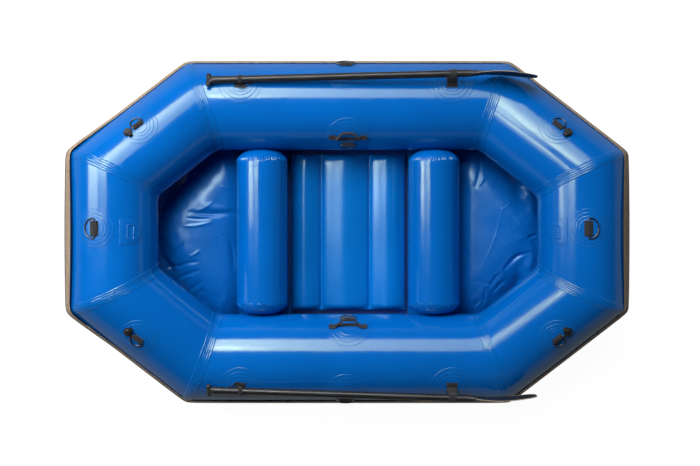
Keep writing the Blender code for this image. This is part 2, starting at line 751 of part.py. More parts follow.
def grab_handle(name, tube):
    """A webbing handle on its own patch: flat feet, and an arch that leans towards the tube's top."""
    patch = wrapped_patch(tube, 0.0, HANDLE_ANGLE, HANDLE_PATCH_RADIUS, BLUE_PATCH, name + "_handle")
    frame = fitting_frame(tube, 0.0, HANDLE_ANGLE, PATCH_SEAT + PATCH_LAYER)
    lean = Vector((0, -math.sin(HANDLE_LEAN), math.cos(HANDLE_LEAN)))
    rings = []
    for along, lift in handle_path():
        centre = Vector((along, 0, HANDLE_STRAP / 2 + PATCH_LAYER * 0.5)) + lift * lean
        side = HANDLE_WIDTH / 2 * Vector((0, math.cos(HANDLE_LEAN * lift / HANDLE_RISE), 0))
        side.z = HANDLE_WIDTH / 2 * math.sin(HANDLE_LEAN * lift / HANDLE_RISE)
        thick = HANDLE_STRAP / 2 * Vector((0, -side.z, side.y)).normalized()
        rings.append([centre - side - thick, centre + side - thick, centre + side + thick, centre - side + thick])
    strap = lofted([[frame @ point for point in points] for points in rings])
    boolean(patch, helper(name + "_handle_strap", strap), "UNION")
    bar_angle = HANDLE_ANGLE + HANDLE_RING_OFFSET / TUBE_RADIUS
    ring_keeper(patch, tube, 0.0, bar_angle, HANDLE_RING)
    return ring(name + "_handle_ring", tube, 0.0, bar_angle, HANDLE_RING, 1)


def fitting_patch(name, tube, angle):
    """A D-shaped patch: a straight edge towards the outside, and a rounded one towards the cockpit."""
    levels = []
    for row in range(FITTING_PATCH_ROWS + 1):
        share = row / FITTING_PATCH_ROWS
        narrowing = (1 - FITTING_PATCH_END) * share**FITTING_PATCH_CURVE
        half = FITTING_PATCH_WIDTH / 2 * math.sqrt(1 - narrowing)
        turn = angle + (share - 0.5) * FITTING_PATCH_DEPTH / TUBE_RADIUS
        under = FITTING_SEAT
        over = FITTING_SEAT + FITTING_PATCH_THICKNESS
        corners = ((-half, under), (half, under), (half, over), (-half, over))
        levels.append([beside(tube, along, turn, radius) for along, radius in corners])
    return finish(name, lofted(levels), BLUE_PATCH)


def loop_centre(tube, x, angle, lift):
    """The middle of a paddle loop: the shaft's axis at this X, standing off the patch by a strap."""
    along = (x - ((tube.start + tube.end) / 2).x) * tube.direction.x
    return along, PATCH_TOP + LOOP_STRAP + LOOP_BORE + lift


def paddle_frame(tube, angle):
    """The paddle's own frame: X along its shaft towards the bow, Z up, with the origin amidships."""
    back_along, back_radius = loop_centre(tube, HOLDER_BACK, angle, HOLDER_BACK_LIFT)
    front_along, front_radius = loop_centre(tube, HOLDER_FRONT, angle, HOLDER_FRONT_LIFT)
    back = beside(tube, back_along, angle, back_radius)
    front = beside(tube, front_along, angle, front_radius)
    forward = (front - back).normalized()
    across = Vector((0, 0, 1)).cross(forward).normalized()
    upward = forward.cross(across)
    place = back + forward * (-HOLDER_BACK)
    rows = Matrix((forward, across, upward)).transposed()
    return Matrix.Translation(place) @ rows.to_4x4()


def paddle_holder(name, tube, x, angle, lift, paddle):
    """A patch with a webbing loop on a stitched stalk. The shaft runs through the loop."""
    along, radius = loop_centre(tube, x, angle, lift)
    patch = wrapped_patch(tube, along, angle, HOLDER_PATCH_RADIUS, BLUE_PATCH, name)
    bottom = PATCH_SEAT + PATCH_LAYER / 2
    outer = LOOP_BORE + LOOP_STRAP
    frame = fitting_frame(tube, along, angle, 0.0)
    stalk_top = radius - LOOP_BORE - LOOP_STRAP / 2
    foot_size = (LOOP_FOOT_LENGTH, LOOP_FOOT_WIDTH, LOOP_FOOT_HEIGHT)
    foot = box(foot_size, (0, 0, bottom + LOOP_FOOT_HEIGHT / 2))
    boolean(patch, helper(name + "_foot", move(foot, frame)), "UNION")
    stalk = box((LOOP_WIDTH, LOOP_STALK, stalk_top - bottom), (0, 0, (stalk_top + bottom) / 2))
    boolean(patch, helper(name + "_stalk", move(stalk, frame)), "UNION")
    turn_shaft = Matrix.Rotation(math.pi / 2, 4, "Y")
    at_loop = Matrix.Translation((x, 0, 0)) @ turn_shaft
    band = cylinder(outer, LOOP_WIDTH, ROUND_SIDES)
    boolean(patch, helper(name + "_band", move(band, paddle @ at_loop)), "UNION")
    hole = cylinder(LOOP_BORE, LOOP_WIDTH * 2, ROUND_SIDES)
    return boolean(patch, helper(name + "_hole", move(hole, paddle @ at_loop)))


def blade_section(forward, half_width, half_thickness, bend):
    """An eight-sided section of the blade, across the shaft: a lens, or round where both halves match."""
    points = []
    for k in range(8):
        turn = k * math.tau / 8
        points.append(Vector((forward, half_thickness * math.cos(turn) + bend, half_width * math.sin(turn))))
    return points


def paddle(side_name, tube, angle, inboard):
    """A paddle with its blade on edge: a hollow shaft, a moulded blade and a small T-grip."""
    frame = paddle_frame(tube, angle)
    turn_shaft = Matrix.Rotation(math.pi / 2, 4, "Y")
    inner = SHAFT_RADIUS - SHAFT_WALL
    spigot = inner - GAP
    start = GRIP_END + GRIP_LENGTH
    middle = (start + BLADE_START) / 2
    length = BLADE_START - start
    profile = (
        (inner, -length / 2),
        (SHAFT_RADIUS, -length / 2),
        (SHAFT_RADIUS, length / 2),
        (inner, length / 2),
        (inner, -length / 2),
    )
    shaft = turned(profile, ROUND_SIDES)
    move(shaft, frame @ Matrix.Translation((middle, 0, 0)) @ turn_shaft)
    finish(side_name + "_paddle_shaft", shaft, SHAFT_BLACK)

    stations = (
        (-SPIGOT_LENGTH / BLADE_LENGTH, spigot, spigot, 0.0),
        (GAP / BLADE_LENGTH, spigot, spigot, 0.0),
        (2 * GAP / BLADE_LENGTH, SHAFT_RADIUS, SHAFT_RADIUS, 0.0),
        *BLADE_SHAPE,
    )
    rings = [
        blade_section(BLADE_START + share * BLADE_LENGTH, width, thick, inboard * bend * BLADE_BEND)
        for share, width, thick, bend in stations
    ]
    blade = lofted([[frame @ point for point in points] for points in rings])
    finish(side_name + "_paddle_blade", blade, BLACK_PLASTIC)

    grip = cylinder(spigot, SPIGOT_LENGTH + GRIP_ROOT, PIN_SIDES)
    place = Matrix.Translation((start + (SPIGOT_LENGTH - GRIP_ROOT) / 2, 0, 0))
    handle = finish(side_name + "_paddle_grip", move(grip, frame @ place @ turn_shaft), BLACK_PLASTIC)
    flare = cylinder(GRIP_NECK_RADIUS, GRIP_FLARE, ROUND_SIDES, top_radius=SHAFT_RADIUS)
    move(flare, frame @ Matrix.Translation((start - GRIP_FLARE / 2 - GAP, 0, 0)) @ turn_shaft)
    boolean(handle, helper(side_name + "_grip_flare", flare), "UNION")
    # The bar lies flat along the tube's skin, so its ends clear it.
    lean = fitting_frame(tube, 0.0, angle, 0.0).to_3x3().to_4x4()
    at_bar = Matrix.Translation(frame @ Vector((GRIP_END + GRIP_BAR_RADIUS, 0, 0)))
    bar = cylinder(GRIP_BAR_RADIUS, GRIP_WIDTH, PIN_SIDES)
    move(bar, at_bar @ lean @ Matrix.Rotation(math.pi / 2, 4, "X"))
    boolean(handle, helper(side_name + "_grip_bar", bar), "UNION")
    return frame


def build_raft():
    shells = {tube.name: tube_shell(tube) for tube in TUBES}
    clearance = clearance_ring()
    baffle("port_side_baffle", BY_NAME["port_side_tube"])
    baffle("starboard_side_baffle", BY_NAME["starboard_side_tube"])
    baffle("bow_baffle", BY_NAME["bow_tube"])
    baffle("stern_baffle", BY_NAME["stern_tube"])
    rub_strake()
    thwart("forward_thwart", THWART_PLACE)
    thwart("aft_thwart", -THWART_PLACE)
    floor_sheet(clearance)
    floor_mattress()
    floor_panel("bow_floor_panel", 1, MATTRESS_FRONT, clearance)
    floor_panel("stern_floor_panel", -1, MATTRESS_BACK, clearance)

    ring_fitting("bow", BY_NAME["bow_tube"], END_FITTING_ALONG, BOW_FITTING_ANGLE, END_RING)
    ring_fitting("stern", BY_NAME["stern_tube"], -END_FITTING_ALONG, STERN_FITTING_ANGLE, END_RING)
    for side, towards_stern in (("port_side", 1), ("starboard_side", -1)):
        along = towards_stern * SIDE_FITTING_ALONG
        tube = BY_NAME[side + "_tube"]
        ring_fitting(side, tube, along, SIDE_FITTING_ANGLE, SIDE_RING, SIDE_KEEPER_OFFSET)
    for corner, towards_end in (
        ("stern_port", 1),
        ("stern_starboard", -1),
        ("bow_starboard", 1),
        ("bow_port", -1),
    ):
        tube = BY_NAME[corner + "_tube"]
        along = towards_end * CORNER_FITTING_ALONG
        patch = ring_fitting(corner, tube, along, CORNER_FITTING_ANGLE, CORNER_RING)
        place = along + towards_end * VALVE_SPACING
        valve(corner, tube, shells[tube.name], patch, place, CORNER_FITTING_ANGLE)

    for side, angle, inboard in (
        ("port", PORT_HOLDER_ANGLE, -1),
        ("starboard", STARBOARD_HOLDER_ANGLE, 1),
    ):
        tube = BY_NAME[side + "_side_tube"]
        grab_handle(side, tube)
        frame = paddle(side, tube, angle, inboard)
        paddle_holder(side + "_aft_holder", tube, HOLDER_BACK, angle, HOLDER_BACK_LIFT, frame)
        paddle_holder(side + "_forward_holder", tube, HOLDER_FRONT, angle, HOLDER_FRONT_LIFT, frame)

    fitting_patch("bow_fitting_patch", BY_NAME["bow_tube"], BOW_PATCH_ANGLE)
    fitting_patch("stern_fitting_patch", BY_NAME["stern_tube"], STERN_PATCH_ANGLE)


build_raft()
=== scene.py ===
"""Looks of an inflatable river raft: fabric, seams, webbing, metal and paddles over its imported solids."""

import math
from collections import namedtuple

import bmesh
import bpy
from mathutils import Matrix, Vector, noise


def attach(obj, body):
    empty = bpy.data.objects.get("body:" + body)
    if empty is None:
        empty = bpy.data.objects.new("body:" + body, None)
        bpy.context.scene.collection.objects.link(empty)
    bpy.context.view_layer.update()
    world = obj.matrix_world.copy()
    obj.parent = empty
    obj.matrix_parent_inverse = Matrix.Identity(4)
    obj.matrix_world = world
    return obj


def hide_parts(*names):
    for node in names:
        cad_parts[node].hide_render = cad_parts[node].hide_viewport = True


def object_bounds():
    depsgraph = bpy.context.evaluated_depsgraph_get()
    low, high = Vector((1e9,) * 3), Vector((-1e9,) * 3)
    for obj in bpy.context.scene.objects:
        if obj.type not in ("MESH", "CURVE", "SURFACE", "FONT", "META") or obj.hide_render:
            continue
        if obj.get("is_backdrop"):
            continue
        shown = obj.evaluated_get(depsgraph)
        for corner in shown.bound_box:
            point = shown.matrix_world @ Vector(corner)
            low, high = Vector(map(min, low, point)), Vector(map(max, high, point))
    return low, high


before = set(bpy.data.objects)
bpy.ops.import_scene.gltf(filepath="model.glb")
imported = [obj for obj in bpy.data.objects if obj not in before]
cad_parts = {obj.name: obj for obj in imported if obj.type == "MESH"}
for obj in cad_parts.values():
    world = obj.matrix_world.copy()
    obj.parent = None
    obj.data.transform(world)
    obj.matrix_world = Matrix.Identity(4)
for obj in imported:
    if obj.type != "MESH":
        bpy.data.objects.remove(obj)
SOLIDS_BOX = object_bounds()

# The ring of tubes, as the solids have it
SIDE_LENGTH = 1.28
SIDE_SPACING = 1.096
END_LENGTH = 0.486
END_SPACING = 2.00
END_RISE = 0.130
TUBE_RADIUS = 0.190
TUBE_SKIN = 0.1911  # the fabric's face, between the solids' flats and their corners
MITRE_ROUNDING = 0.012
STRAKE_ANGLE = math.radians(15)
STRAKE_TAN_ANGLE = math.radians(17.6)
STRAKE_ROUNDING = 0.016
STRAKE_SPACING = 0.024  # between the points of its line
STERN_STRAKE_START = 0.96  # how far astern the strake begins to be thicker
STERN_STRAKE_EASE = 0.20
STERN_STRAKE_BULGE = 0.008
STRAKE_SWELL_START = 1.06
STRAKE_SWELL = 0.75
STRAKE_SWELL_RISE = 0.30

# Thwarts and floor
THWART_RADIUS = 0.110
THWART_PLACE = 0.374
THWART_HALF = 0.3577
THWART_DOME = 0.052
THWART_HEIGHT = 0.2006
THWART_STRAIGHT = 0.60  # the share of its grid that isn't dome
PLEATS_ROUND = 60
FLOOR_BOTTOM = 0.0123
FLOOR_TOP = 0.0903
FLOOR_MIDDLE = (FLOOR_TOP + FLOOR_BOTTOM) / 2
FLOOR_GAP = 0.0006  # kept free below the thwarts
SHEET_HALF_LENGTH = 0.948
SHEET_HALF_WIDTH = 0.490
SHEET_TAPER = 0.847  # how much narrower each half gets, for each metre beyond the next value
SHEET_TAPER_START = 0.612
SHEET_HEIGHT = 0.0096
MATTRESS_BACK = -0.256
MATTRESS_FRONT = 0.258
MATTRESS_WIDTHS = (0.134, 0.208, 0.160)
MATTRESS_GROOVE = 0.006
MATTRESS_SKIN_HALF = 0.350
MATTRESS_SEAM_ROLL = 0.012
MATTRESS_END_ROLL = 0.028
MATTRESS_ROUNDING = 0.030
PANEL_GAP = 0.0035
PANEL_UNDER_TUBES = 0.050
PANEL_CREST = 0.128
PANEL_CREST_PLACE = 0.700
PANEL_FALL_INWARD = 0.69
PANEL_FALL_OUTWARD = 1.25
PANEL_ROLL = 0.150
PANEL_DROP = 0.046
PANEL_EDGE = 0.007
PANEL_HELD_FROM = 0.74
PANEL_HELD_OVER = 0.08
PANEL_HELD_SHARE = 0.80
THWART_SIDE = 0.488
THWART_SWELL = 0.068

# Patches and fittings
PATCH_RADIUS = 0.083
HOLDER_PATCH_RADIUS = 0.094
HANDLE_PATCH_RADIUS = 0.094
PATCH_STEPS = (1.0, 0.80, 0.62, 0.47)
PATCH_LAYER = 0.0010
PATCH_TOP = 0.19528
WEBBING_SEAT = TUBE_SKIN + 4 * PATCH_LAYER + 0.0012
BAR_RADIUS = 0.19953
RING_WIRE = 0.00275
RING_SHOULDER = 0.006
RING_CORNER = 0.004
RING_DROOP = math.radians(5)
END_FITTING_ALONG = 0.015
BOW_FITTING_ANGLE = math.radians(80)
STERN_FITTING_ANGLE = math.radians(64)
CORNER_FITTING_ALONG = 0.060
CORNER_FITTING_ANGLE = math.radians(62)
SIDE_FITTING_ALONG = 0.010
SIDE_FITTING_ANGLE = math.radians(49.5)
SIDE_KEEPER_OFFSET = 0.065
HANDLE_ANGLE = math.radians(138)
HANDLE_RING_OFFSET = 0.046
HANDLE_SPAN = 0.162
HANDLE_FOOT = 0.030
HANDLE_WIDTH = 0.025
HANDLE_STRAP = 0.0030
HANDLE_DOUBLED = 0.46  # the arch's width, folded double, beside its feet's
HANDLE_BASE_HALF = 0.046
HANDLE_BASE_INBOARD = 0.012
FITTING_PATCH_WIDTH = 0.110
FITTING_PATCH_DEPTH = 0.100
BOW_PATCH_ANGLE = BOW_FITTING_ANGLE + 0.136 / TUBE_RADIUS
STERN_PATCH_ANGLE = STERN_FITTING_ANGLE + 0.1525 / TUBE_RADIUS

# Paddles and their holders
SHAFT_RADIUS = 0.0160
FERRULE = 0.0006
HOLDER_BACK = -0.455
HOLDER_FRONT = 0.440
PORT_HOLDER_ANGLE = math.radians(64)
STARBOARD_HOLDER_ANGLE = math.radians(55)
HOLDER_BACK_LIFT = 0.0025
HOLDER_FRONT_LIFT = 0.0450
HOLDER_FOOT = 0.026
LOOP_STRAP = 0.0026
LOOP_BORE = 0.01662
CORD_RADIUS = 0.0016
GRIP_END = -0.598
GRIP_BAR_RADIUS = 0.0105
GRIP_WIDTH = 0.062
BLADE_START = 0.500
BLADE_LENGTH = 0.290

# The studio
CAMERA_PLACE = (0.0087, -0.0043, 6.0)
CAMERA_SENSOR = 36.0
CAMERA_LENS = 68.6
STUDIO_WIDTH = 14.0
WORLD_LIGHT = 0.03
MIRRORED_WHITE = 0.28  # how much of the white backdrop the glossy skins mirror
LAMP_AWAY = 5.0
PORT_BANK = (5.45, 7.75)  # how far to port and how high the bank of soft boxes is
PORT_BANK_HEIGHT = 5.4
NEAR_LAMP_HEIGHT = 0.85
QUARTER_LAMP_TILT = math.radians(38)
QUARTER_LAMP_TURN = math.radians(130)

Tube = namedtuple("Tube", "name start end direction outward up start_plane end_plane")
RingSize = namedtuple("RingSize", "half_width depth keeper_length keeper_width")
CORNER_RING = RingSize(0.0275, 0.034, 0.047, 0.019)
END_RING = RingSize(0.0420, 0.042, 0.062, 0.028)
SIDE_RING = RingSize(0.0385, 0.034, 0.050, 0.019)
HANDLE_RING = RingSize(0.0335, 0.034, 0.047, 0.019)

# The middle and the three directions of the raft, or of a frame on it
ORIGIN = (0.0, 0.0, 0.0)
ALONG = (1.0, 0.0, 0.0)
ACROSS = (0.0, 1.0, 0.0)
UPWARD = (0.0, 0.0, 1.0)


def clamp(value, low=0.0, high=1.0):
    return max(low, min(high, value))


def soft_step(value):
    """From nothing to one, with a soft start and end."""
    value = clamp(value)
    return value * value * (3 - 2 * value)


class Term:
    """A number or vector in a node tree. Arithmetic with it makes the nodes that work it out."""

    def __init__(self, bench, socket, is_vector=None):
        self.bench = bench
        self.socket = socket
        self.is_vector = socket.type == "VECTOR" if is_vector is None else is_vector

    def __add__(self, other):
        return self.bench.maths("ADD", self, other)

    def __sub__(self, other):
        return self.bench.maths("SUBTRACT", self, other)

    def __rsub__(self, other):
        return self.bench.maths("SUBTRACT", other, self)

    def __mul__(self, other):
        return self.bench.maths("SCALE" if self.is_vector else "MULTIPLY", self, other)

    def __truediv__(self, other):
        return self.bench.maths("DIVIDE", self, other)


class Bench:
    """A node tree, for shapes or for a finish, with short calls for its nodes."""

    def __init__(self, tree):
        self.tree = tree

    def node(self, kind, **values):
        """A node. A value goes to the setting or socket of its name, with _ for a space."""
        made = self.tree.nodes.new(kind)
        for name, value in values.items():
            if name in made.bl_rna.properties:
                setattr(made, name, value)
        for name, value in values.items():
            if name not in made.bl_rna.properties:
                self.put(made.inputs[name.replace("_", " ")], value)
        return made

    def read(self, kind, output=0, **values):
        return Term(self, self.node(kind, **values).outputs[output])

    def put(self, socket, value):
        value = value.socket if isinstance(value, Term) else value
        if isinstance(value, bpy.types.NodeSocket):
            self.tree.links.new(value, socket)
        else:
            socket.default_value = value

    def maths(self, operation, *values):
        """What an operation makes of numbers, or of vectors where one of the values is a vector."""
        vectors = any(isinstance(value, Term) and value.is_vector for value in values)
        made = self.tree.nodes.new("ShaderNodeVectorMath" if vectors else "ShaderNodeMath")
        made.operation = operation
        sockets = (made.inputs["Vector"], made.inputs["Scale"]) if operation == "SCALE" else made.inputs
        for socket, value in zip(sockets, values):
            self.put(socket, value)
        is_vector = vectors and operation not in ("DOT_PRODUCT", "LENGTH")
        return Term(self, made.outputs["Vector" if is_vector else "Value"], is_vector)

    def vector(self, x, y, z):
        return self.read("ShaderNodeCombineXYZ", X=x, Y=y, Z=z)

    def parts(self, vector):
        return [Term(self, socket) for socket in self.node("ShaderNodeSeparateXYZ", Vector=vector).outputs]

    def smooth(self, value, low, high, start=0.0, end=1.0):
        made = self.node("ShaderNodeMapRange", interpolation_type="SMOOTHSTEP", Value=value)
        for name, setting in (("From Min", low), ("From Max", high), ("To Min", start), ("To Max", end)):
            self.put(made.inputs[name], setting)
        return Term(self, made.outputs[0])


def face_outwards(mesh):
    """Turns the faces of a closed mesh outwards. Swept and bent grids come out either way."""
    bm = bmesh.new()
    bm.from_mesh(mesh)
    bmesh.ops.recalc_face_normals(bm, faces=bm.faces)
    bm.to_mesh(mesh)
    bm.free()
    return mesh


def evaluated_mesh(thing):
    """A plain new mesh of what the object's modifiers make."""
    graph = bpy.context.evaluated_depsgraph_get()
    return bpy.data.meshes.new_from_object(thing.evaluated_get(graph), depsgraph=graph)


def new_object(name, data):
    thing = bpy.data.objects.new(name, data)
    bpy.context.scene.collection.objects.link(thing)
    return thing


class ShapeTree(Bench):
    """A Geometry Nodes tree with named inputs. It ends in Realize Instances and Set Material."""

    KINDS = {int: "NodeSocketInt", float: "NodeSocketFloat", tuple: "NodeSocketVector"}

    def __init__(self, name, **inputs):
        super().__init__(bpy.data.node_groups.new(name, "GeometryNodeTree"))
        sockets = self.tree.interface
        sockets.new_socket("Geometry", in_out="INPUT", socket_type="NodeSocketGeometry")
        sockets.new_socket("Geometry", in_out="OUTPUT", socket_type="NodeSocketGeometry")
        self.identifiers = {}
        for label, value in inputs.items():
            kind = self.KINDS[type(value)]
            socket = sockets.new_socket(label.replace("_", " "), in_out="INPUT", socket_type=kind)
            socket.default_value = value
            self.identifiers[label] = socket.identifier
        finish = sockets.new_socket("Finish", in_out="INPUT", socket_type="NodeSocketMaterial")
        self.identifiers["Finish"] = finish.identifier
        self.given = self.tree.nodes.new("NodeGroupInput")
        self.result = self.tree.nodes.new("NodeGroupOutput")

    def __getitem__(self, label):
        return Term(self, self.given.outputs[label])

    def position(self):
        return self.read("GeometryNodeInputPosition")

    def number(self, name):
        return self.read("GeometryNodeInputNamedAttribute", "Attribute", data_type="FLOAT", Name=name)

    def direction(self, name):
        made = self.node("GeometryNodeInputNamedAttribute", data_type="FLOAT_VECTOR", Name=name)
        return Term(self, made.outputs["Attribute"], True)

    def stored(self, geometry, name, value, kind="FLOAT"):
        made = self.node("GeometryNodeStoreNamedAttribute", data_type=kind, Name=name)
        self.put(made.inputs["Geometry"], geometry)
        self.put(made.inputs["Value"], value)
        return made.outputs["Geometry"]

    def noise(self, vector, scale, detail=2.0):
        """Noise about zero, from a half down to minus a half."""
        return self.read("ShaderNodeTexNoise", Vector=vector, Scale=scale, Detail=detail) - 0.5

    def end(self, geometry, position, merge=0.0):
        """Moves the geometry's points, joins those this close to each other, and finishes the tree."""
        geometry = self.node("GeometryNodeSetPosition", Geometry=geometry, Position=position).outputs[0]
        if merge:
            geometry = self.node("GeometryNodeMergeByDistance", Geometry=geometry, Distance=merge).outputs[0]
        self.finish(geometry)

    def finish(self, geometry):
        smooth = self.node("GeometryNodeSetShadeSmooth", Geometry=geometry)
        real = self.node("GeometryNodeRealizeInstances", Geometry=smooth.outputs[0])
        painted = self.node("GeometryNodeSetMaterial", Geometry=real.outputs[0], Material=self["Finish"])
        self.tree.links.new(painted.outputs[0], self.result.inputs[0])

    def make(self, name, finish, start=None, sharp=None, **sizes):
        """A plain mesh object from the tree, with these sizes."""
        thing = new_object(name, start or bpy.data.meshes.new(name))
        modifier = thing.modifiers.new("shape", "NODES")
        modifier.node_group = self.tree
        modifier[self.identifiers["Finish"]] = finish
        for label, value in sizes.items():
            modifier[self.identifiers[label]] = value
        plain = evaluated_mesh(thing)
        thing.modifiers.clear()
        thing.data = face_outwards(plain)
        plain.name = name
        if sharp:
            plain.set_sharp_from_angle(angle=math.radians(sharp))
        return thing


def placed(thing, body, slot, *nodes):
    """Has a finished piece ride on its body and stand for its solids."""
    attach(thing, body)
    if nodes:
        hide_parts(*nodes)
    return thing


def sewn(thing):
    """Has a strap, a cord or a row of stitches ride on the raft."""
    return placed(thing, "raft", "black_webbing")


def mesh_piece(name, bm, finish, sharp=40):
    """A piece from a bmesh, with its faces pointing out."""
    bmesh.ops.remove_doubles(bm, verts=bm.verts, dist=1e-6)
    bmesh.ops.recalc_face_normals(bm, faces=bm.faces)
    mesh = bpy.data.meshes.new(name)
    bm.to_mesh(mesh)
    bm.free()
    mesh.materials.append(finish)
    mesh.shade_smooth()
    mesh.set_sharp_from_angle(angle=math.radians(sharp))
    return new_object(name, mesh)


def grid_points(bm, rows, columns, point):
    """A grid of points, each placed by its share along, from 0 to 1, and across, from -1 to 1."""
    grid = []
    for k in range(rows + 1):
        grid.append([bm.verts.new(point(k / rows, 2 * j / columns - 1)) for j in range(columns + 1)])
    return grid


def grid_faces(bm, grid, turned=False):
    for k in range(len(grid) - 1):
        for j in range(len(grid[0]) - 1):
            corners = [grid[k][j], grid[k + 1][j], grid[k + 1][j + 1], grid[k][j + 1]]
            bm.faces.new(corners[::-1] if turned else corners)


def closed_skins(bm, first, second):
    """Faces over two grids of one size, and a wall between their edges."""
    grid_faces(bm, first)
    grid_faces(bm, second, True)

    def edge(grid):
        rows, columns = len(grid) - 1, len(grid[0]) - 1
        loop = [grid[k][0] for k in range(rows)]
        loop += [grid[rows][j] for j in range(columns)]
        loop += [grid[k][columns] for k in range(rows, 0, -1)]
        return loop + [grid[0][j] for j in range(columns, 0, -1)]

    over, under = edge(first), edge(second)
    for k in range(len(over)):
        after = (k + 1) % len(over)
        bm.faces.new([over[k], over[after], under[after], under[k]])


# Finishes


def tinted(colour, factor, plus=0.0):
    return tuple(c * factor + plus for c in colour)


class Finish(Bench):
    """A material with one Principled shader."""

    def __init__(self, name, roughness, metallic=0.0, specular=0.5, sheen=0.0):
        self.material = bpy.data.materials.new(name)
        self.material.use_nodes = True
        super().__init__(self.material.node_tree)
        self.shader = self.tree.nodes["Principled BSDF"]
        self.use(Roughness=roughness, Metallic=metallic, Specular_IOR_Level=specular, Sheen_Weight=sheen)
        self.place = self.read("ShaderNodeTexCoord", "Object")

    def noise(self, scale, detail=2.0, vector=None, roughness=0.5):
        where = vector or self.place
        return self.read("ShaderNodeTexNoise", Vector=where, Scale=scale, Detail=detail, Roughness=roughness)

    def patchy(self, scale, detail, low, high, start=0.0, end=1.0, **more):
        """Noise that goes softly from one value to another between two of its readings."""
        return self.smooth(self.noise(scale, detail, **more), low, high, start, end)

    def between(self, factor, first, second):
        made = self.node("ShaderNodeMix", data_type="RGBA")
        self.put(made.inputs[0], factor)
        for number, colour in ((6, first), (7, second)):
            self.put(made.inputs[number], colour if isinstance(colour, Term) else (*colour, 1.0))
        return Term(self, made.outputs[2])

    def bump(self, height, distance):
        return self.read("ShaderNodeBump", Height=height, Distance=distance, Strength=1.0)

    def use(self, **sockets):
        for name, value in sockets.items():
            self.put(self.shader.inputs[name.replace("_", " ")], value)
        return self.material

    def attribute(self, name):
        return self.read("ShaderNodeAttribute", "Fac", attribute_name=name)


WARM_GLOSS = (0.82, 1.0, 0.56, 1.0)
COOL_GLOSS = (0.68, 0.98, 1.0, 1.0)


def coated_fabric(name, colour, roughness, tone=0.05, gloss_colour=WARM_GLOSS):
    """Coated fabric: a faint weave under gloss, cloudy tone, and a sheen that varies a little."""
    finish = Finish(name, roughness, specular=0.72)
    cloud = finish.patchy(3.2, 3.0, 0.3, 0.7)
    weave = finish.read("ShaderNodeTexVoronoi", "Distance", Vector=finish.place, Scale=520.0)
    return finish.use(
        Specular_Tint=gloss_colour,
        Base_Color=finish.between(cloud, tinted(colour, 1 - tone), tinted(colour, 1 + tone)),
        Roughness=finish.patchy(14.0, 4.0, 0.25, 0.75, roughness - 0.02, roughness + 0.025),
        Normal=finish.bump(weave * 0.6 + finish.noise(1400.0, 1.0), 0.000025),
    )


def webbing(name, colour, ribs_per_metre=620.0):
    """Woven webbing: picks across the strap and ribs along it."""
    finish = Finish(name, 0.72, specular=0.35, sheen=0.25)
    along = finish.maths("SINE", finish.attribute("along") * (ribs_per_metre * math.tau / 2))
    across = finish.maths("SINE", finish.attribute("across") * (ribs_per_metre * math.tau * 0.7))
    return finish.use(
        Base_Color=finish.between(finish.patchy(160.0, 3.0, 0.35, 0.75), colour, tinted(colour, 2.6, 0.004)),
        Normal=finish.bump(along * across * 0.5 + finish.noise(2600.0), 0.00035),
    )


def strake_rubber(name, colour, roughness):
    """Extruded rubber, with darker dusty patches and lighter scuffed ones at random."""
    finish = Finish(name, roughness, specular=0.4)
    dust = finish.patchy(90.0, 5.0, 0.35, 0.7, roughness=0.65)
    scuffed = finish.between(finish.patchy(9.0, 4.0, 0.45, 0.65), colour, tinted(colour, 1.18))
    return finish.use(
        Base_Color=finish.between(dust, tinted(colour, 0.72), scuffed),
        Roughness=finish.patchy(40.0, 3.0, 0.3, 0.7, roughness - 0.08, roughness + 0.08),
        Normal=finish.bump(finish.noise(700.0, 3.0), 0.00015),
    )


def moulded_plastic(name, colour, roughness):
    """Moulded plastic: fine spark grain, worn shinier in places."""
    finish = Finish(name, roughness)
    return finish.use(
        Base_Color=finish.between(finish.patchy(28.0, 4.0, 0.3, 0.7), colour, tinted(colour, 1.7, 0.003)),
        Roughness=finish.patchy(55.0, 3.0, 0.3, 0.7, roughness - 0.08, roughness + 0.10),
        Normal=finish.bump(finish.noise(1500.0), 0.00012),
    )


def bright_metal(name, colour, roughness):
    """Polished wire with fine drawing marks and small dull spots."""
    finish = Finish(name, roughness, metallic=1.0)
    marks = finish.noise(420.0, 3.0)
    return finish.use(
        Base_Color=finish.between(finish.patchy(75.0, 4.0, 0.5, 0.75), colour, tinted(colour, 0.62)),
        Roughness=finish.smooth(marks, 0.3, 0.7, roughness - 0.06, roughness + 0.14),
        Normal=finish.bump(marks, 0.00004),
    )


def coated_shaft(name, colour, roughness):
    """A dark coated aluminium tube: satin, with long faint scratches."""
    finish = Finish(name, roughness, metallic=0.35, specular=0.6)
    stretched = finish.maths("MULTIPLY", finish.place, (6.0, 220.0, 220.0))
    scratches = finish.patchy(1.0, 4.0, 0.45, 0.62, vector=stretched)
    return finish.use(
        Base_Color=finish.between(scratches, colour, tinted(colour, 1.9, 0.006)),
        Roughness=finish.patchy(30.0, 3.0, 0.3, 0.7, roughness - 0.05, roughness + 0.08),
        Normal=finish.bump(finish.noise(900.0), 0.00005),
    )


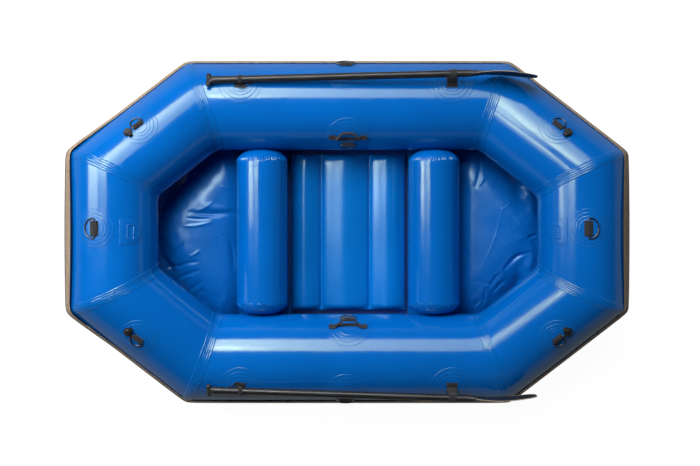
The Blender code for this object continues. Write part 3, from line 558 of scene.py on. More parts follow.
TUBE_BLUE = coated_fabric("tube_fabric", (0.0, 0.130, 0.515), 0.135)
SEAM_BLUE = coated_fabric("seam_tape_fabric", (0.0, 0.128, 0.49), 0.135)
PATCH_BLUE = coated_fabric("patch_fabric", (0.001, 0.130, 0.50), 0.17)
FLOOR_BLUE = coated_fabric("floor_fabric", (0.0, 0.118, 0.46), 0.29, 0.08, COOL_GLOSS)
# The mattress is the floor fabric in a lighter tone: painted light, for the light its upturned top catches.
MATTRESS_BLUE_PAINTED_LIGHT = coated_fabric("mattress_fabric", (0.0, 0.160, 0.55), 0.22, 0.06, COOL_GLOSS)
SHEET_BLUE = coated_fabric("floor_sheet_fabric", (0.0, 0.075, 0.42), 0.42, 0.10)
BAFFLE_BLUE = coated_fabric("baffle_fabric", (0.0, 0.11, 0.50), 0.45)
STRAKE_TAN = strake_rubber("strake_tan_rubber", (0.40, 0.30, 0.205), 0.62)
# The strake's base strip and stern backing are dark blue-black: painted shade along the edges of the tan
# rubber, not the rubber's own colour.
STRAKE_PAINTED_SHADE = strake_rubber("strake_edge_rubber", (0.006, 0.024, 0.105), 0.48)
STRAP_BLACK = webbing("black_strap_webbing", (0.010, 0.010, 0.011))
CORD_BLACK = webbing("black_cord", (0.011, 0.011, 0.012), 900.0)
PLASTIC_BLACK = moulded_plastic("black_moulding", (0.012, 0.012, 0.013), 0.42)
# A tan finish for the thin wire round the blade's edge: a painted highlight.
BLADE_RIM_PAINTED_HIGHLIGHT = moulded_plastic("blade_edge_moulding", (0.30, 0.24, 0.17), 0.55)
STEEL = bright_metal("ring_steel", (0.13, 0.13, 0.135), 0.26)
SHAFT_BLACK = coated_shaft("paddle_shaft_coating", (0.016, 0.016, 0.018), 0.33)
THREAD_GREY = webbing("stitch_thread", (0.16, 0.15, 0.14), 3000.0)


# The ring of tubes


def ring_of_tubes():
    """The tubes from port round the stern, with outward and up carried past each mitre plane."""
    side_x, side_y = SIDE_LENGTH / 2, SIDE_SPACING / 2
    end_x, end_y = END_SPACING / 2, END_LENGTH / 2
    low, high = TUBE_RADIUS, TUBE_RADIUS + END_RISE
    plan = ((side_x, side_y, low), (-side_x, side_y, low), (-end_x, end_y, high), (-end_x, -end_y, high))
    corners = [Vector(corner) for corner in plan]
    corners += [Vector((-x, -y, z)) for x, y, z in plan]
    sides = "port_side stern_port stern stern_starboard starboard_side bow_starboard bow bow_port"
    count = len(corners)
    directions = [(corners[(k + 1) % count] - corners[k]).normalized() for k in range(count)]
    planes = [(directions[k - 1] + directions[k]).normalized() for k in range(count)]
    outward, up = Vector(ACROSS), Vector(UPWARD)
    tubes = []
    for k, side in enumerate(sides.split()):
        if k > 0:
            outward = outward - 2 * outward.dot(planes[k]) * planes[k]
            up = up - 2 * up.dot(planes[k]) * planes[k]
        after = (k + 1) % count
        ends = corners[k], corners[after]
        tubes.append(Tube(side + "_tube", *ends, directions[k], outward, up, planes[k], planes[after]))
    return tubes


TUBES = ring_of_tubes()
BY_NAME = {tube.name: tube for tube in TUBES}


def beside(tube, along, angle, radius):
    """A point along the tube from its middle, round it from outwards, and out from its axis."""
    middle = (tube.start + tube.end) / 2
    out = math.cos(angle) * tube.outward + math.sin(angle) * tube.up
    return middle + along * tube.direction + radius * out


def fitting_frame(tube, along, angle, radius):
    """A frame on the tube's surface: X along it, Y round it away from outwards, Z straight out of it."""
    out = math.cos(angle) * tube.outward + math.sin(angle) * tube.up
    around = math.cos(angle) * tube.up - math.sin(angle) * tube.outward
    rows = Matrix((tube.direction, around, out)).transposed()
    return Matrix.Translation(beside(tube, along, angle, radius)) @ rows.to_4x4()


def corner_turn(t, reach, own, other):
    """How far a line that ends in a mitre turns towards the other tube, this far from the mitre."""
    root = t.maths("SQRT", reach * reach + MITRE_ROUNDING * MITRE_ROUNDING)
    return (other - own) * ((root - reach) * 0.5)


def mitre_slope(t, out, direction, plane):
    """How far along a tube its mitre is, for each metre out from its axis."""
    return t.maths("DOT_PRODUCT", out, plane) / t.maths("DOT_PRODUCT", direction, plane)


def inflated_tube_tree():
    """A tube of blown-up fabric between two mitres, puckered a little beside its seams."""
    t = ShapeTree(
        "inflated_tube", Start=ORIGIN, End=ALONG, Outward=ACROSS, Up=UPWARD, Start_plane=ALONG,
        End_plane=ALONG, Direction_before=ALONG, Direction_after=ALONG, Radius=TUBE_SKIN, Pucker=0.0010,
        Slack=0.0012, Sides=96, Rows=120, Seed=0.0,
    )
    drum = t.node(
        "GeometryNodeMeshCylinder", Vertices=t["Sides"], Side_Segments=t["Rows"], Radius=1.0, Depth=2.0
    )
    x, y, z = t.parts(t.position())
    share = (z + 1.0) * 0.5
    line = t["End"] - t["Start"]
    direction = t.maths("NORMALIZE", line)
    out = t["Outward"] * x + t["Up"] * y
    first = mitre_slope(t, out, direction, t["Start plane"]) * t["Radius"] * -1.0
    last = t.maths("LENGTH", line) + mitre_slope(t, out, direction, t["End plane"]) * t["Radius"] * -1.0
    place = first * (1.0 - share) + last * share
    from_start = place - first
    from_end = last - place
    close = t.maths("EXPONENT", t.maths("MINIMUM", from_start, from_end) * -22.0)
    round_it = t.vector(x * 7.0, y * 7.0, place * 5.0) + t.vector(t["Seed"], 0, 0)
    ridges = t.noise(round_it, 1.6, 3.0) * close * t["Pucker"] * 4.0
    lazy = t.vector(x, y, place * 4.0) + t.vector(0, t["Seed"], 0)
    radius = t["Radius"] + ridges + t.noise(lazy, 1.3, 1.0) * t["Slack"]
    point = t["Start"] + direction * place + out * radius
    point = point + corner_turn(t, from_start, t["Direction before"], direction)
    point = point + corner_turn(t, from_end, direction, t["Direction after"])
    t.end(drum.outputs["Mesh"], point)
    return t


def seam_tape_tree():
    """A welded tape over a mitre, with parallel ridges, its edges let into the fabric."""
    t = ShapeTree(
        "seam_tape", Corner=ORIGIN, Plane=ALONG, Outward=ACROSS, Up=UPWARD, Direction_before=ALONG,
        Direction_after=ALONG, Radius=TUBE_SKIN, Half_width=0.025, Thickness=0.0012, Ridges=5.0,
        Ridge_height=0.0009, Seed=0.0,
    )
    upper_share, sunk = 0.8, 0.0008
    sheet = t.node("GeometryNodeMeshGrid", Size_X=1.0, Size_Y=1.0, Vertices_X=181, Vertices_Y=73)
    across, round_it, _ = t.parts(t.position())
    angle = (across + 0.5) * math.tau
    share = round_it + 0.5
    over = share * (1 / upper_share)
    under = (1.0 - share) * (1 / 0.2)
    level = t.maths("MINIMUM", t.maths("MINIMUM", over, under), 1.0)
    side = (level * 2.0 - 1.0) * t["Half width"]
    reach = t["Half width"] - t.maths("ABSOLUTE", side)
    lifted = t.smooth(reach, 0.0, 0.0022) * t.maths("LESS_THAN", share, upper_share)
    wave = t.maths("COSINE", side * t["Ridges"] * math.pi * t.maths("DIVIDE", 1.0, t["Half width"]))
    ridge = t.maths("POWER", (wave + 1.0) * 0.5, 3.0)
    x, y = t.maths("COSINE", angle), t.maths("SINE", angle)
    uneven = t.noise(t.vector(x * 3.0, y * 3.0, side * 60.0 + t["Seed"]), 1.4)
    height = t["Thickness"] + ridge * t["Ridge height"] * (uneven * 1.6 + 0.9)
    radius = t["Radius"] - sunk + lifted * (height + sunk)
    out = t["Outward"] * x + t["Up"] * y
    after = t["Direction after"]
    slope = mitre_slope(t, out, after, t["Plane"])
    root = t.maths("SQRT", side * side + MITRE_ROUNDING * MITRE_ROUNDING)
    point = t["Corner"] + out * radius + after * (slope * radius * -1.0) + after * ((side + root) * 0.5)
    point = point + t["Direction before"] * ((root - side) * 0.5 * -1.0)
    t.end(sheet.outputs["Mesh"], point, 0.00002)
    return t


def swept_strip_tree():
    """A strip, wire or cord of any section along a path that carries its own facing and side."""
    t = ShapeTree(
        "swept_strip", Width=0.02, Thickness=0.002, Squareness=8.0, Even=1.0, Ribs=0.0, Rib_depth=0.0,
        Section_points=32,
    )
    path = t.node("GeometryNodeMeshToCurve", Mesh=t["Geometry"]).outputs[0]
    path = t.stored(path, "along", t.read("GeometryNodeSplineParameter", "Length"))
    path = t.stored(path, "centre", t.position(), "FLOAT_VECTOR")
    circle = t.node("GeometryNodeCurvePrimitiveCircle", Resolution=t["Section points"], Radius=1.0)
    turn = t.read("GeometryNodeInputIndex") * 2.0 / t["Section points"]
    top = t.maths("LESS_THAN", turn, 1.0)
    sign = top * 2.0 - 1.0
    within = t.maths("FLOORED_MODULO", turn, 1.0)
    even = 1.0 - within * 2.0
    bunched = t.maths("COSINE", within * math.pi)
    spread = (even * t["Even"] + bunched * (1.0 - t["Even"])) * sign
    fall = t.maths("POWER", t.maths("ABSOLUTE", spread), t["Squareness"])
    crown = t.maths("SQRT", t.maths("MAXIMUM", 1.0 - fall, 0.0))
    wave = t.maths("COSINE", (spread + 1.0) * t["Ribs"] * math.pi)
    groove = (wave + 1.0) * 0.5 * t["Rib depth"] * top
    section = t.stored(circle.outputs[0], "across", spread * t["Width"] * 0.5)
    section = t.stored(section, "lift", crown * sign * t["Thickness"] * 0.5 - groove)
    swept = t.node("GeometryNodeCurveToMesh", Curve=path, Profile_Curve=section, Fill_Caps=True)
    wide = t.number("across") * t.number("share")
    point = t.direction("centre") + t.direction("side") * wide + t.direction("facing") * t.number("lift")
    t.end(swept.outputs[0], point)
    return t


def stitch_row_tree():
    """Short stitches at an even pitch along a path, each lying in its facing."""
    t = ShapeTree("stitch_row", Pitch=0.004, Length=0.0028, Thread=0.0008)
    path = t.node("GeometryNodeMeshToCurve", Mesh=t["Geometry"]).outputs[0]
    even = t.node("GeometryNodeResampleCurve", mode="LENGTH", Curve=path, Length=t["Pitch"])
    bead = t.node("GeometryNodeMeshUVSphere", Segments=6, Rings=4, Radius=0.5).outputs["Mesh"]
    turned = t.node(
        "FunctionNodeAxesToRotation", primary_axis="Z", secondary_axis="X",
        Primary_Axis=t.direction("facing"), Secondary_Axis=t.read("GeometryNodeInputTangent"),
    )
    rows = t.node(
        "GeometryNodeInstanceOnPoints", Points=even.outputs[0], Instance=bead, Rotation=turned.outputs[0],
        Scale=t.vector(t["Length"], t["Thread"], t["Thread"]),
    )
    t.finish(rows.outputs[0])
    return t


def thwart_tree():
    """A blown-up cross tube: domed ends, gathered pleats in them, and a weld round each end."""
    t = ShapeTree(
        "thwart", Place=ORIGIN, Radius=THWART_RADIUS, Half_length=THWART_HALF, Dome=THWART_DOME,
        Pleat_depth=0.0055, Weld_height=0.0021, Seed=0.0,
    )
    ball = t.node("GeometryNodeMeshUVSphere", Segments=480, Rings=130, Radius=1.0)
    x, y, z = t.parts(t.position())
    lift = t.maths("ARCSINE", t.maths("MAXIMUM", t.maths("MINIMUM", z, 1.0), -1.0))
    share = t.maths("ABSOLUTE", lift * (2 / math.pi))
    sign = t.maths("SIGN", z)
    round_it = t.maths("ARCTAN2", y, x)
    c, s = t.maths("COSINE", round_it), t.maths("SINE", round_it)
    straight = t.maths("MINIMUM", share * (1 / THWART_STRAIGHT), 1.0)
    domed = t.maths("MAXIMUM", (share - THWART_STRAIGHT) * (1 / 0.40), 0.0)
    body = t["Half length"] - t["Dome"]
    turn = domed * (math.pi / 2)
    reach = straight * body + t.maths("SINE", turn) * t["Dome"]
    fall = t.maths("POWER", t.maths("MAXIMUM", t.maths("COSINE", turn), 0.0), 0.72)
    uneven = t.noise(t.vector(c * 2.5, s * 2.5, sign * 2.0 + t["Seed"]), 1.5, 3.0)
    sharp = t.maths("ABSOLUTE", t.maths("SINE", round_it * (PLEATS_ROUND / 2) + uneven * 5.0))
    strength = t.smooth(uneven + 0.5, 0.25, 0.62, 0.35, 1.25)
    gather = t.smooth(domed, 0.0, 0.10) * t.smooth(domed, 0.75, 0.30) * strength
    dent = gather * (0.62 - sharp) * t["Pleat depth"]

    def ridge(behind):
        """A round ridge in the weld, this far behind the dome's edge."""
        off = (reach - (body - behind)) * 420.0
        return t.maths("EXPONENT", off * off * -1.0)

    weld = ridge(0.004) + ridge(0.013) * 0.6
    soft = t.noise(t.vector(c, s, reach * sign * 5.0), 1.5) * 0.0012
    radius = (t["Radius"] + weld * t["Weld height"] + soft - 0.0004) * fall - dent
    reach = reach + gather * sharp * t["Pleat depth"] * -0.9
    t.end(ball.outputs["Mesh"], t["Place"] + t.vector(radius * c, reach * sign, radius * s))
    return t


def round_patch_tree():
    """A round glued patch in thin steps, wrapped round its tube."""
    t = ShapeTree(
        "round_patch", Middle=ORIGIN, Direction=ALONG, Outward=ACROSS, Up=UPWARD, Angle=1.0,
        Tube_radius=TUBE_SKIN, Patch_radius=PATCH_RADIUS, First_step=PATCH_STEPS[1],
        Second_step=PATCH_STEPS[2], Third_step=PATCH_STEPS[3], Layer=PATCH_LAYER, Edge=0.0011,
    )
    upper_share, sunk = 0.92, 0.0009
    sheet = t.node("GeometryNodeMeshGrid", Size_X=1.0, Size_Y=1.0, Vertices_X=121, Vertices_Y=110)
    first, second, _ = t.parts(t.position())
    turn = (first + 0.5) * math.tau
    share = second + 0.5
    back = (1.0 - share) * (1 / 0.08)
    reach = t.maths("MINIMUM", share * (1 / upper_share), back) * t["Patch radius"]
    steps = t.smooth(t["Patch radius"] - reach, 0.0, t["Edge"])
    for step in ("First step", "Second step", "Third step"):
        steps = steps + t.smooth(t["Patch radius"] * t[step] - reach, 0.0, t["Edge"])
    height = t.maths("LESS_THAN", share, upper_share) * (steps * t["Layer"] + sunk) - sunk
    angle = t["Angle"] + reach * t.maths("SINE", turn) / t["Tube radius"]
    out = t["Outward"] * t.maths("COSINE", angle) + t["Up"] * t.maths("SINE", angle)
    along = t["Direction"] * (reach * t.maths("COSINE", turn))
    point = t["Middle"] + along + out * (t["Tube radius"] + height)
    t.end(sheet.outputs["Mesh"], point, 0.00001)
    return t


TUBE_TREE = inflated_tube_tree()
TAPE_TREE = seam_tape_tree()
STRIP_TREE = swept_strip_tree()
STITCH_TREE = stitch_row_tree()
THWART_TREE = thwart_tree()
PATCH_TREE = round_patch_tree()


def path_mesh(name, rows, shares=None, closed=False):
    """A line of (point, facing, side) rows that carries them and its share of the width."""
    mesh = bpy.data.meshes.new(name)
    edges = [(k, k + 1) for k in range(len(rows) - 1)]
    if closed:
        edges.append((len(rows) - 1, 0))
    mesh.from_pydata([tuple(row[0]) for row in rows], edges, [])
    for label, column in (("facing", 1), ("side", 2)):
        attribute = mesh.attributes.new(label, "FLOAT_VECTOR", "POINT")
        attribute.data.foreach_set("vector", [c for row in rows for c in row[column]])
    attribute = mesh.attributes.new("share", "FLOAT", "POINT")
    attribute.data.foreach_set("value", list(shares or [1.0] * len(rows)))
    return mesh


def strip(name, finish, rows, width, thickness, shares=None, closed=False, frame_at=None, **sizes):
    """A strap along (point, facing, side) rows, which may be given in a fitting's frame."""
    if frame_at is not None:
        turn = frame_at.to_3x3()
        rows = [(frame_at @ p, (turn @ f).normalized(), (turn @ s).normalized()) for p, f, s in rows]
    path = path_mesh(name, rows, shares, closed)
    return STRIP_TREE.make(name, finish, start=path, sharp=50, Width=width, Thickness=thickness, **sizes)


def wire(name, finish, points, radius, closed=False, sections=12):
    """A round wire or cord through these points."""
    count = len(points)
    rows = []
    facing = Vector(UPWARD)
    for k, point in enumerate(points):
        before = points[(k - 1) % count] if closed or k > 0 else point
        after = points[(k + 1) % count] if closed or k < count - 1 else point
        tangent = (after - before).normalized()
        side = tangent.cross(facing)
        if side.length < 0.2:
            side = tangent.cross(Vector((0, 1, 0.3)))
        side.normalize()
        facing = side.cross(tangent).normalized()
        rows.append((point, facing, side))
    return strip(
        name, finish, rows, 2 * radius, 2 * radius, closed=closed, Squareness=2.0, Even=0.0,
        Section_points=sections,
    )


def make_tubes():
    """The eight tubes, and the taped seam at each mitre."""
    for number, tube in enumerate(TUBES):
        before, after = TUBES[number - 1], TUBES[(number + 1) % len(TUBES)]
        common = {"Outward": tube.outward, "Up": tube.up, "Direction_before": before.direction}
        skin = TUBE_TREE.make(
            tube.name + "_fabric", TUBE_BLUE, sharp=35, Start=tube.start, End=tube.end,
            Start_plane=tube.start_plane, End_plane=tube.end_plane, Direction_after=after.direction,
            Seed=3.7 * number, **common,
        )
        placed(skin, "raft", "blue_pvc", tube.name)
        tape = TAPE_TREE.make(
            f"seam_tape_{number + 1}", SEAM_BLUE, sharp=60, Corner=tube.start, Plane=tube.start_plane,
            Direction_after=tube.direction, Seed=5.3 * number, **common,
        )
        placed(tape, "raft", "blue_pvc")


def ring_line(angle, radius):
    """A line round the whole raft at this angle on the tubes, as (point, facing, side) rows."""
    rows = []
    for number, tube in enumerate(TUBES):
        before, after = TUBES[number - 1], TUBES[(number + 1) % len(TUBES)]
        outs = [math.cos(angle) * t.outward + math.sin(angle) * t.up for t in (before, tube, after)]
        ups = [math.cos(angle) * t.up - math.sin(angle) * t.outward for t in (before, tube, after)]
        first = -radius * outs[1].dot(tube.start_plane) / tube.direction.dot(tube.start_plane)
        last = (tube.end - tube.start).length
        last -= radius * outs[1].dot(tube.end_plane) / tube.direction.dot(tube.end_plane)
        count = max(8, round((last - first) / STRAKE_SPACING))
        for k in range(count):
            # Points crowd towards the mitres, where the line turns
            share = (1 - math.cos(math.pi * (k + 0.5) / count)) / 2
            share = 0.55 * share + 0.45 * (k + 0.5) / count
            place = first + (last - first) * share
            reach, rest = place - first, last - place
            root, end_root = math.hypot(reach, STRAKE_ROUNDING), math.hypot(rest, STRAKE_ROUNDING)
            point = tube.start + place * tube.direction + radius * outs[1]
            point = point + (root - reach) / 2 * (tube.direction - before.direction)
            point = point + (end_root - rest) / 2 * (after.direction - tube.direction)
            pulls = [0.5 * (1 - reach / root), 0.0, 0.5 * (1 - rest / end_root)]
            pulls[1] = 1 - pulls[0] - pulls[2]
            facing = pulls[1] * outs[1] + pulls[0] * outs[0] + pulls[2] * outs[2]
            side = pulls[1] * ups[1] + pulls[0] * ups[0] + pulls[2] * ups[2]
            rows.append((point, facing.normalized(), side.normalized()))
    return rows


def end_swell(point):
    """How much wider the strake is here: it swells along both ends, most at their middles."""
    share = soft_step((abs(point.x) - STRAKE_SWELL_START) / 0.10)
    return share * max(0.0, 1 - (point.y / 0.40) ** 2)


def make_strake():
    """The rub strake: a base strip in dark blue-black painted shade, the ribbed tan rubber on it, and the
    thicker run astern.
    """
    plain = {"Squareness": 6.0, "Section_points": 40}
    ribbed = {"Squareness": 5.0, "Section_points": 96, "Ribs": 5.0, "Rib_depth": 0.0009}
    for name, finish, angle, height, width, thickness, section, nodes in (
        ("strake_base", STRAKE_PAINTED_SHADE, STRAKE_ANGLE, 0.0012, 0.048, 0.0036, plain, ["rub_strake"]),
        ("strake_ribbed_rubber", STRAKE_TAN, STRAKE_TAN_ANGLE, 0.0034, 0.033, 0.0044, ribbed, []),
    ):
        rows, shares = [], []
        for p, f, s in ring_line(angle, TUBE_SKIN + height):
            share = 1 + STRAKE_SWELL * end_swell(p)
            # The wider run reaches up the tube, so its middle follows the tube's round
            turn = (share - 1) * STRAKE_SWELL_RISE * width / TUBE_RADIUS
            out = f * math.cos(turn) + s * math.sin(turn)
            bulge = STERN_STRAKE_BULGE * soft_step((-p.x - STERN_STRAKE_START) / STERN_STRAKE_EASE)
            point = p + (out - f) * (TUBE_SKIN + height) + bulge * f
            rows.append((point, out, (s - s.dot(out) * out).normalized()))
            shares.append(share)
        piece = strip(name, finish, rows, width, thickness, shares, closed=True, **section)
        placed(piece, "raft", "taupe_rubber", *nodes)
    # The backing under the thicker stern run is in the same painted shade.
    rows = ring_line(STRAKE_ANGLE, TUBE_SKIN + STERN_STRAKE_BULGE / 2)
    rows = [row for row in rows if row[0].x < -STERN_STRAKE_START - 0.14]
    rows.sort(key=lambda row: -row[0].y)
    backing = strip("stern_strake_backing", STRAKE_PAINTED_SHADE, rows, 0.046, STERN_STRAKE_BULGE, Squareness=6.0)
    placed(backing, "raft", "taupe_rubber")


# The floor


def apply_modifiers(thing):
    """Makes what the modifiers give the object's own mesh."""
    plain = evaluated_mesh(thing)
    thing.modifiers.clear()
    thing.data = plain


def swell(thing, cap):
    """Blows fabric up in a short cloth simulation. No point moves further than the cap."""
    scene = bpy.context.scene
    scene.frame_start, scene.frame_end = 1, 20
    cloth = thing.modifiers.new("swell", "CLOTH")
    cloth.settings.use_pressure = True
    cloth.settings.uniform_pressure_force = 4.0
    cloth.settings.effector_weights.gravity = 0.0
    cloth.point_cache.frame_start, cloth.point_cache.frame_end = 1, 20
    for number in range(1, 21):
        scene.frame_set(number)
    blown = evaluated_mesh(thing)
    for vertex, moved in zip(thing.data.vertices, blown.vertices):
        way = moved.co - vertex.co
        if way.length > cap:
            way *= cap / way.length
        vertex.co += way
    thing.modifiers.clear()
    bpy.data.meshes.remove(blown)
    scene.frame_set(1)


def refine(thing):
    """One more subdivision, with the surface kept smooth."""
    finer = thing.modifiers.new("finer", "SUBSURF")
    finer.levels = finer.render_levels = 1
    apply_modifiers(thing)


def pad(name, finish, rows, columns, place, low, high):
    """A closed pad over a plan: two skins, and a wall between them."""
    bm = bmesh.new()
    skins = []
    for level in (high, low):

        def point(along, across):
            x, y = place(along, across)
            return x, y, level(x, y)

        skins.append(grid_points(bm, rows, columns, point))
    closed_skins(bm, *skins)
    return mesh_piece(name, bm, finish, sharp=60)


def reach_from_tubes(x, y, ends=True):
    """How far a point of the plan is inside the tubes' inner edges, with or without the end tubes."""
    x, y = abs(x), abs(y)
    side_x, side_y = SIDE_LENGTH / 2, SIDE_SPACING / 2
    end_x, end_y = END_SPACING / 2, END_LENGTH / 2
    across = Vector((side_y - end_y, end_x - side_x)).normalized()
    slanted = (Vector((end_x, end_y)) - Vector((x, y))).dot(across)
    return min(side_y - y, end_x - x if ends else slanted, slanted) - TUBE_RADIUS


def floor_rise(x):
    """How the floor curves up under its raised ends."""
    return 0.80 * max(0.0, abs(x) - 0.55) ** 2


def panel_top(x, y):
    """An end panel's upper skin: flat under its thwart, a crown, and a roll down to the tubes."""
    span = abs(x)
    if span < THWART_SIDE:
        crown = FLOOR_TOP - FLOOR_GAP - 0.012 * max(0.0, (span - 0.40) / (THWART_SIDE - 0.40)) ** 2
    else:
        fall = PANEL_FALL_INWARD if span < PANEL_CREST_PLACE else PANEL_FALL_OUTWARD
        crown = PANEL_CREST - fall * (span - PANEL_CREST_PLACE) ** 2
        crown -= 0.0185 * max(0.0, 1 - (span - THWART_SIDE) / THWART_SWELL) ** 2
    reach = reach_from_tubes(x, y, False)
    # Beside the bow tube the panel is held up, so that it closes with the tube
    share = clamp((x - PANEL_HELD_FROM) / PANEL_HELD_OVER)
    held = 1 - PANEL_HELD_SHARE * share * share * (3 - 2 * share)
    crown -= PANEL_DROP * held * max(0.0, 1 - reach / PANEL_ROLL) ** 2
    return max(crown, FLOOR_BOTTOM + floor_rise(x) + PANEL_EDGE)


def panel_bottom(x, y):
    return FLOOR_BOTTOM + floor_rise(x)


def panel_plan(end, start):
    """Where a grid point of an end panel lies. The panel's edges run a little way under the tubes."""
    last = END_SPACING / 2 - TUBE_RADIUS + PANEL_UNDER_TUBES
    widest = SIDE_SPACING / 2 - TUBE_RADIUS + PANEL_UNDER_TUBES

    def place(along, across):
        x = start + (last - start) * along
        # The widest y that is still no deeper under the slanted tubes than under the others
        step = Vector((SIDE_SPACING / 2 - END_LENGTH / 2, END_SPACING / 2 - SIDE_LENGTH / 2)).normalized()
        to_line = (END_SPACING / 2 - x) * step.x - TUBE_RADIUS + PANEL_UNDER_TUBES
        return end * x, min(widest, END_LENGTH / 2 + to_line / step.y) * across

    return place


# Each fold of the end panels: where it starts and ends, its width, and how far it is let in
STERN_FOLDS = (
    ((-0.507, 0.088), (-0.690, 0.086), 0.0120, 0.0085),
    ((-0.530, 0.098), (-0.640, 0.122), 0.0140, -0.0040),
    ((-0.600, 0.128), (-0.672, 0.090), 0.0060, -0.0036),
    ((-0.606, 0.071), (-0.694, 0.076), 0.0045, -0.0030),
    ((-0.612, 0.060), (-0.704, 0.062), 0.0050, 0.0030),
    ((-0.600, 0.044), (-0.712, 0.026), 0.0060, -0.0034),
    ((-0.723, -0.048), (-0.752, -0.080), 0.0050, 0.0028),
    ((-0.650, -0.080), (-0.700, -0.110), 0.0055, -0.0026),
    ((-0.832, -0.108), (-0.772, -0.176), 0.0120, 0.0110),
    ((-0.815, -0.160), (-0.735, -0.150), 0.0070, 0.0065),
    ((-0.752, -0.152), (-0.664, -0.130), 0.0070, 0.0052),
    ((-0.790, -0.230), (-0.661, -0.170), 0.0075, 0.0070),
    ((-0.760, -0.215), (-0.690, -0.196), 0.0050, -0.0034),
    ((-0.735, -0.290), (-0.650, -0.222), 0.0070, 0.0052),
    ((-0.690, -0.300), (-0.640, -0.255), 0.0060, 0.0040),
    ((-0.522, -0.040), (-0.507, -0.165), 0.0090, 0.0070),
    ((-0.560, 0.200), (-0.520, 0.190), 0.0060, -0.0018),
)
BOW_FOLDS = (
    ((0.585, 0.335), (0.566, 0.205), 0.0090, 0.0042),
    ((0.603, 0.245), (0.576, 0.205), 0.0055, -0.0030),
    ((0.722, 0.134), (0.676, 0.098), 0.0040, -0.0016),
    ((0.679, 0.106), (0.600, -0.135), 0.0034, -0.0014),
    ((0.790, -0.030), (0.842, -0.010), 0.0060, 0.0060),
    ((0.770, 0.000), (0.835, -0.052), 0.0140, 0.0060),
    ((0.690, -0.164), (0.760, -0.098), 0.0100, 0.0065),
    ((0.720, -0.120), (0.800, -0.090), 0.0080, 0.0042),
    ((0.606, -0.250), (0.597, -0.318), 0.0060, 0.0046),
    ((0.630, -0.236), (0.672, -0.180), 0.0080, 0.0048),
    ((0.560, -0.215), (0.640, -0.236), 0.0070, 0.0034),
    ((0.640, -0.270), (0.690, -0.215), 0.0070, 0.0046),
    ((0.560, -0.330), (0.585, -0.300), 0.0070, 0.0040),
)


def fold_depth(folds, x, y):
    """How far the folds let the fabric in at a point of the plan."""
    total = 0.0
    point = Vector((x, y))
    for start, end, width, depth in folds:
        start, end = Vector(start), Vector(end)
        line = end - start
        share = (point - start).dot(line) / line.length_squared
        if not -0.1 < share < 1.1:
            continue
        bow = 0.10 * line.length * math.sin(math.pi * clamp(share))
        across = ((point - start).cross(line) / line.length + bow * 0.4) / width
        if abs(across) > 3:
            continue
        fade = math.sin(math.pi * clamp((share + 0.1) / 1.2)) ** 0.7
        total += depth * fade * math.exp(-across * across)
    return total


def light_wrinkles(x, y, size):
    """Fine slack in the fabric, stronger beside the tubes."""
    close = math.exp(-max(0.0, reach_from_tubes(x, y)) / 0.07)
    slack = noise.noise(Vector((x * 9, y * 9, 3.1 * size))) * 0.0016
    return slack + close * noise.noise(Vector((x * 26, y * 26, size))) * 0.0042


def under_thwart(x, y):
    """The height that the nearest thwart leaves free at a point of the plan."""
    off = abs(abs(x) - THWART_PLACE)
    radius = THWART_RADIUS + 0.0018
    if off >= radius or abs(y) > THWART_HALF + 0.004:
        return 1.0
    return THWART_HEIGHT - math.sqrt(radius * radius - off * off)


def make_panel(name, end, mattress_edge, folds):
    """An end panel: blown up, then sewn and slack where the photograph shows folds."""
    start = abs(mattress_edge) + PANEL_GAP
    panel = pad(name + "_cushion", FLOOR_BLUE, 78, 104, panel_plan(end, start), panel_bottom, panel_top)
    swell(panel, 0.005)
    refine(panel)
    for vertex in panel.data.vertices:
        x, y, z = vertex.co
        x = end * max(end * x, start)
        low = FLOOR_BOTTOM + floor_rise(x)
        if z > low + 0.4 * PANEL_EDGE:
            share = min(1.0, (z - low) / 0.03)
            z -= share * fold_depth(folds, x, y)
            z += share * light_wrinkles(x, y, 7.0 + end)
            z = min(z, under_thwart(x, y) - FLOOR_GAP)
        vertex.co = (x, y, max(z, low))
    placed(panel, "raft", "blue_floor_fabric", name)


def mattress_edges():
    """The edges of each cell of the mattress, from the back one forward."""
    back = MATTRESS_BACK
    for width in MATTRESS_WIDTHS:
        yield back, back + width
        back += width + MATTRESS_GROOVE


def mattress_skin(sign):
    """One skin of the mattress: three cross cells that roll down into the channels between them."""
    half = (FLOOR_TOP - FLOOR_BOTTOM) / 2

    def roll(reach, size):
        rest = max(0.0, 1 - max(0.0, reach) / size)
        return size * (1 - math.sqrt(max(0.0, 1 - rest * rest)))

    def height(x, y):
        best = half
        for back, front in mattress_edges():
            if back - MATTRESS_GROOVE / 2 <= x <= front + MATTRESS_GROOVE / 2:
                lost = roll(min(x - back, front - x), MATTRESS_SEAM_ROLL)
                lost += roll(MATTRESS_SKIN_HALF - abs(y), MATTRESS_END_ROLL)
                lost += MATTRESS_ROUNDING * abs((2 * x - back - front) / (front - back)) ** 1.6
                best = max(half - lost, 0.004)
        return FLOOR_MIDDLE + sign * best

    return height


